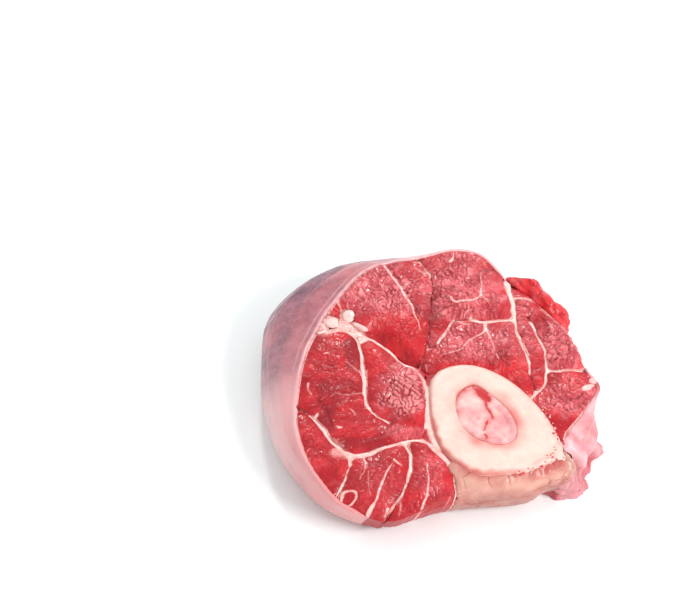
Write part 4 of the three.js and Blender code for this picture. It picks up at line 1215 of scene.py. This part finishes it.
# %% Right membrane
mesh, places, normals, x, y, level = plain_piece("right_membrane", 0.32 * MM, 5)
angle, distance = polar(x, y, CENTRE)
pleats = soft_noise(np.stack([angle * 16 + 1.2 * level, level * 1.5], axis=1), 1, 121)
hem = 1 - smoothstep(level, 0.08, 0.3)
film_relief = 0.85 * pleats * (1 - smoothstep(level, 0.75, 0.95)) + relief_of(places, (1.6, 122, 0.14))
film_relief += hem * (0.3 + relief_of(places, (2.6, 123, 0.7), (1.1, 124, 0.25)))
outward = np.stack([np.cos(angle), np.sin(angle), 0 * angle], axis=1)
film_relief *= smoothstep((normals * outward).sum(axis=1), 0, 0.5)
places += normals * (film_relief * MM)[:, None]
places = drawn_over(places, surface_of("rind_under_bone", "bone"), 1.1)
move_to(mesh, settle(places, x, y))
clouds = soft_noise(places / MM, 4, 125)
# Painted highlight on the ridges of the pleats, and painted shade, a deeper red, in their hollows.
note(mesh, "cold", np.clip(smoothstep(level, 0.4, 0.9) * (0.75 + 0.6 * clouds) + 0.6 * pleats, 0, 1))
note(mesh, "warm", np.clip(0.5 * hem + 0.4 * clouds - 0.8 * pleats, 0, 0.8))
add_piece("right_membrane_film", mesh, membrane, "membrane", "right_membrane")

# %% [markdown]
# ## Loose flap
# A rag of muscle that the saw left hanging at the back right, crumpled and deep red.

# %% Loose flap
flap_mesh = split_open_faces(even_mesh(copy_of("loose_flap"), 0.4 * MM, 6))
places = places_of(flap_mesh)
normals = normals_of(flap_mesh)
x, y, level = layout(places)
FLAP_RUN = np.array([[0.62, -0.78, 0], [0.78, 0.62, 0], [0, 0, 1]])
along = places / MM @ FLAP_RUN.T * (0.34, 1, 0.62)
along += 0.7 * np.stack([soft_noise(places / MM, 3.2, k) for k in (131, 132, 133)], axis=1)
bundle = soft_noise(along, 2.1, 134)
edge = np.abs(bundle)
own = 0.5 + 0.5 * soft_noise(along, 4.2, 136)
crack = np.exp(-((edge / 0.05) ** 2)) * smoothstep(soft_noise(places / MM, 3, 137), -0.3, 0.3)
flap_relief = 0.9 * np.minimum(edge, 0.55) + 0.9 * (own - 0.6) - 0.1 * crack
flap_relief += relief_of(places, (1.2, 135, 0.12))
places += normals * (flap_relief * MM)[:, None]
move_to(flap_mesh, places)
note(flap_mesh, "fat", np.zeros(len(x)))
# Painted shade in the flap's cracks, through the crease and deep masks.
note(flap_mesh, "crease", 0.7 * crack)
# A painted highlight: the fold tops, away from the cracks, are paler and glossier.
note(flap_mesh, "pale", np.clip(0.08 + 0.8 * edge, 0, 0.5))
note(flap_mesh, "tone", 0.45 + 0.5 * own)
note(flap_mesh, "deep", 0.1 * crack)
note(flap_mesh, "blood", np.full(len(x), 0.55))
note(flap_mesh, "fleck", np.zeros(len(x)))
add_piece("loose_flap_meat", flap_mesh, meat, "muscle", "loose_flap")

# %% [markdown]
# ## Bone and marrow
# The saw leaves the dense ring of bone smooth and damp, faintly pink towards its canal. The
# marrow is soft fat. It fills the canal and has smeared a little over its edge, and blood has
# welled up in it in a few streaks.

# %% Blood in the marrow
BLOOD_LINES = [
    ((0.6, 0.9, 0.9), [(8, -10.5), (9.8, -9), (12, -8)]),
    ((0.9, 3.2, 2.4), [(12, -8.2), (13.8, -10.2), (16.2, -13)]),
    ((1.6, 1.1, 0.8), [(15.4, -13.2), (15.6, -15), (16.6, -17.2), (17.4, -19.1)]),
    ((0.8, 1.0, 0.7), [(15.9, -19.6), (15.2, -21.2), (14.7, -22.8)]),
    ((1.1, 1.5, 1.1), [(14.7, -24.8), (15, -25.2), (15.2, -25.5)]),
    ((0.5, 0.6, 0.4), [(7.4, -11.2), (7.5, -11.7)]),
    ((0.6, 0.7, 0.5), [(7.4, -16.1), (7.6, -16.6)]),
]
CRESCENT = [((0.2, 0.45, 0.3), [(17.2, -12.3), (19.9, -15.2), (21.9, -18.1), (23.1, -21.1), (23.4, -23.7),
                                (22.9, -26.4)])]
blood_map = draw_map(laid_out(BLOOD_LINES))
crescent_map = draw_map(laid_out(CRESCENT))

# %% Bone
mesh, places, normals, x, y, level = plain_piece("bone", 0.34 * MM, 4)
places += normals * (relief_of(places, (6, 141, 0.07), (1.2, 142, 0.03), (0.6, 143, 0.015)) * MM)[:, None]
past_canal = past_outline(x, y, canal_radius)
past_bone = past_outline(x, y, bone_radius)
places[:, :2] += normals[:, :2] * (0.22 * MM * smoothstep(past_bone, -1.5, -0.5))[:, None]
flat = np.stack([x, y], axis=1)
on_face = smoothstep(np.abs(normals[:, 2]), 0.1, 0.5)
crescent = 1 - smoothstep(look_up(crescent_map, x, y), -0.1, 0.25)
places[:, 2] -= 0.25 * MM * crescent * (normals[:, 2] > 0.5)
move_to(mesh, places)
blush = 1 - smoothstep(past_canal + 1.2 * soft_noise(flat, 3, 144), -0.5, 4.6)
blush *= 0.3 + 0.7 * smoothstep(x - y, 26, 44)
note(mesh, "cold", np.clip(blush, 0, 1))
rim_blood = 1 - smoothstep(-past_bone + 0.5 * soft_noise(flat, 2, 145), 0.1, 1.5)
rim_blood *= 0.3 + 0.7 * smoothstep(np.abs(x + y - 6), 12, 30)
outer_wall = 0.45 * (1 - on_face) * smoothstep(past_bone, -1.2, -0.3)
arch = np.exp(-(((past_canal - 0.1) / 0.45) ** 2)) * smoothstep(y - 0.6 * x, -21, -16)
note(mesh, "warm",
     np.clip(np.maximum.reduce([0.8 * rim_blood * on_face, outer_wall, crescent, 0.75 * arch]), 0, 1))
add_piece("bone_ring", mesh, bone_finish, "bone", "bone")

# %% Marrow
mesh, places, normals, x, y, level = plain_piece("marrow", 0.3 * MM, 5)
flat = np.stack([x, y], axis=1)
past_canal = past_outline(x, y, canal_radius)
outer = smoothstep(past_canal, -2.2, -0.5)
top = smoothstep(level, 0.9, 0.97)
places[:, :2] += normals[:, :2] * ((0.34 + 0.45 * top) * MM)[:, None]
smear = (0.3 * outer + 0.3 * outer * smoothstep(x - y, 30, 38)
         + relief_of(places, (3.2, 151, 0.16), (1.3, 152, 0.06)) * (1 - outer))
bloody = 1 - smoothstep(look_up(blood_map, x, y) + 0.25 * soft_noise(flat, 0.9, 153), -0.25, 0.3)
places[:, 2] += (smear + 0.12 * bloody) * top * MM
move_to(mesh, places)
cloud = soft_noise(flat, 3.4, 154) + 0.5 * soft_noise(flat, 1.2, 155)
note(mesh, "cold", np.clip(0.35 + 0.6 * cloud, 0, 1) * (1 - bloody))
faint = 1 - smoothstep(look_up(blood_map, x, y), 0, 1.4)
arch = outer * smoothstep(y - 0.6 * x, -21, -16)
note(mesh, "warm", np.clip(np.maximum.reduce([0.95 * bloody, 0.3 * faint, 0.7 * arch]), 0, 1))
add_piece("marrow_fill", mesh, marrow_finish, "marrow", "marrow")

# %% [markdown]
# ## Fat at the corner
# At the right corner the fat under the membrane shows as a few soft white lumps. They are balls
# that a remesh melts into one.

# %% Corner fat
CORNER_LUMPS = [
    # x, y, depth of the middle below the sawn plane, radius
    (44.2, -10.0, 1.3, 1.5),
    (46.8, -7.4, 1.3, 1.5),
    (47.0, -10.8, 1.6, 1.4),
    (44.6, -12.8, 1.5, 1.0),
    (48.2, -9.0, 2.2, 1.2),
    (45.6, -5.6, 1.3, 0.9),
]
lumps_bmesh = bmesh.new()
for x, y, depth, radius in CORNER_LUMPS:
    ball = bmesh.ops.create_icosphere(lumps_bmesh, subdivisions=3, radius=radius * MM)["verts"]
    middle = Vector((x + ORIGIN[0], y + ORIGIN[1], sawn_plane(x, y) - depth)) * MM
    bmesh.ops.translate(lumps_bmesh, vec=middle, verts=ball)
mesh, places, normals, x, y, level = plain_piece(lumps_bmesh, 0.26 * MM, 3)
places += normals * (relief_of(places, (1.8, 156, 0.16), (0.8, 157, 0.05)) * MM)[:, None]
move_to(mesh, places)
note(mesh, "warm", np.clip(0.35 + 0.5 * soft_noise(places / MM, 1.6, 158), 0, 1))
note(mesh, "cold", np.zeros(len(x)))
add_piece("corner_fat", mesh, tendon, "connective")

# %% [markdown]
# ## Crumbs of the saw
# Where the bone meets the meat at its lower right the saw has left a row of crumbs of bone,
# fat and meat. Each is a small round lump, pushed out of shape.

# %% Crumbs
CRUMB_LINE = [(31.5, -16), (33.6, -20.5), (35.2, -26), (35, -30), (32, -33.6), (27.5, -36.8), (23, -38)]
CRUMBS = 90


def crumb_mesh(count, seed=17):
    draw = np.random.default_rng(seed)
    line = smooth_line(CRUMB_LINE, closed=False)
    bm = bmesh.new()
    for _ in range(count):
        spot = line[draw.integers(len(line))] + draw.normal(0, 0.45, 2) + ORIGIN
        top, _, _, _ = everything.ray_cast(Vector((spot[0] * MM, spot[1] * MM, 0.1)), Vector((0, 0, -1)))
        if top is None or top.z < 15 * MM:
            continue
        radius = draw.uniform(0.16, 0.42) * MM
        made = bmesh.ops.create_icosphere(bm, subdivisions=2, radius=radius)["verts"]
        for vert in made:
            vert.co *= draw.uniform(0.82, 1.15)
        stretch = Vector((draw.uniform(0.8, 1.5), draw.uniform(0.7, 1.2), draw.uniform(0.5, 0.8)))
        bmesh.ops.scale(bm, vec=stretch, verts=made)
        bmesh.ops.translate(bm, vec=top - Vector((0, 0, 0.2 * radius)), verts=made)
    crumbs = bpy.data.meshes.new("crumbs")
    bm.to_mesh(crumbs)
    bm.free()
    return crumbs


mesh = crumb_mesh(CRUMBS)
places = places_of(mesh)
own = soft_noise(places / MM, 1.6, 161)
note(mesh, "fat", np.clip(0.15 + 1.3 * own, 0, 0.6))
for mask, value in (("crease", 0), ("pale", 0.4), ("tone", 0.6),
                    ("deep", 0), ("blood", 0.45), ("fleck", 0)):
    note(mesh, mask, np.full(len(places), value))
add_piece("saw_crumbs", mesh, meat, "muscle")

# %% [markdown]
# ## Floor, light and camera
# The slice lies on a plain white ground in soft studio light.

# %% Floor
bm = bmesh.new()
bmesh.ops.create_grid(bm, x_segments=2, y_segments=2, size=3)
floor_mesh = bpy.data.meshes.new("floor")
bm.to_mesh(floor_mesh)
bm.free()
floor = bpy.data.objects.new("floor", floor_mesh)
bpy.context.scene.collection.objects.link(floor)
ground = Finish("ground")
floor_mesh.materials.append(ground.surface(Base_Color=shade("f0f5f5"), Roughness=0.9))

# %% Light
world = bpy.data.worlds.new("studio")
bpy.context.scene.world = world
world.use_nodes = True
world.node_tree.nodes["Background"].inputs["Color"].default_value = (1, 1, 1, 1)
world.node_tree.nodes["Background"].inputs["Strength"].default_value = 0.89


def soft_light(name, place, size, power, colour=(1, 1, 1)):
    data = bpy.data.lights.new(name, "AREA")
    data.shape = "DISK"
    data.size = size
    data.energy = power
    data.color = colour
    lamp = bpy.data.objects.new(name, data)
    bpy.context.scene.collection.objects.link(lamp)
    lamp.location = place
    lamp.rotation_euler = (-Vector(place)).to_track_quat("-Z", "Y").to_euler()


soft_light("key", (0.53, -0.38, 0.52), 0.3, 5.5)
soft_light("back", (-0.05, 0.6, 0.6), 0.12, 2.1)

# %% Camera
camera_data = bpy.data.cameras.new("camera")
camera = bpy.data.objects.new("camera", camera_data)
bpy.context.scene.collection.objects.link(camera)
camera.location = (np.array([-27.61, -394.90, 491.73]) + np.append(ORIGIN, 0)) * MM
camera.rotation_euler = (math.radians(42), 0, 0)
camera_data.lens = 110.77
camera_data.sensor_width = 36
camera_data.clip_start = 0.05
bpy.context.scene.camera = camera
bpy.context.scene.view_settings.view_transform = "Standard"
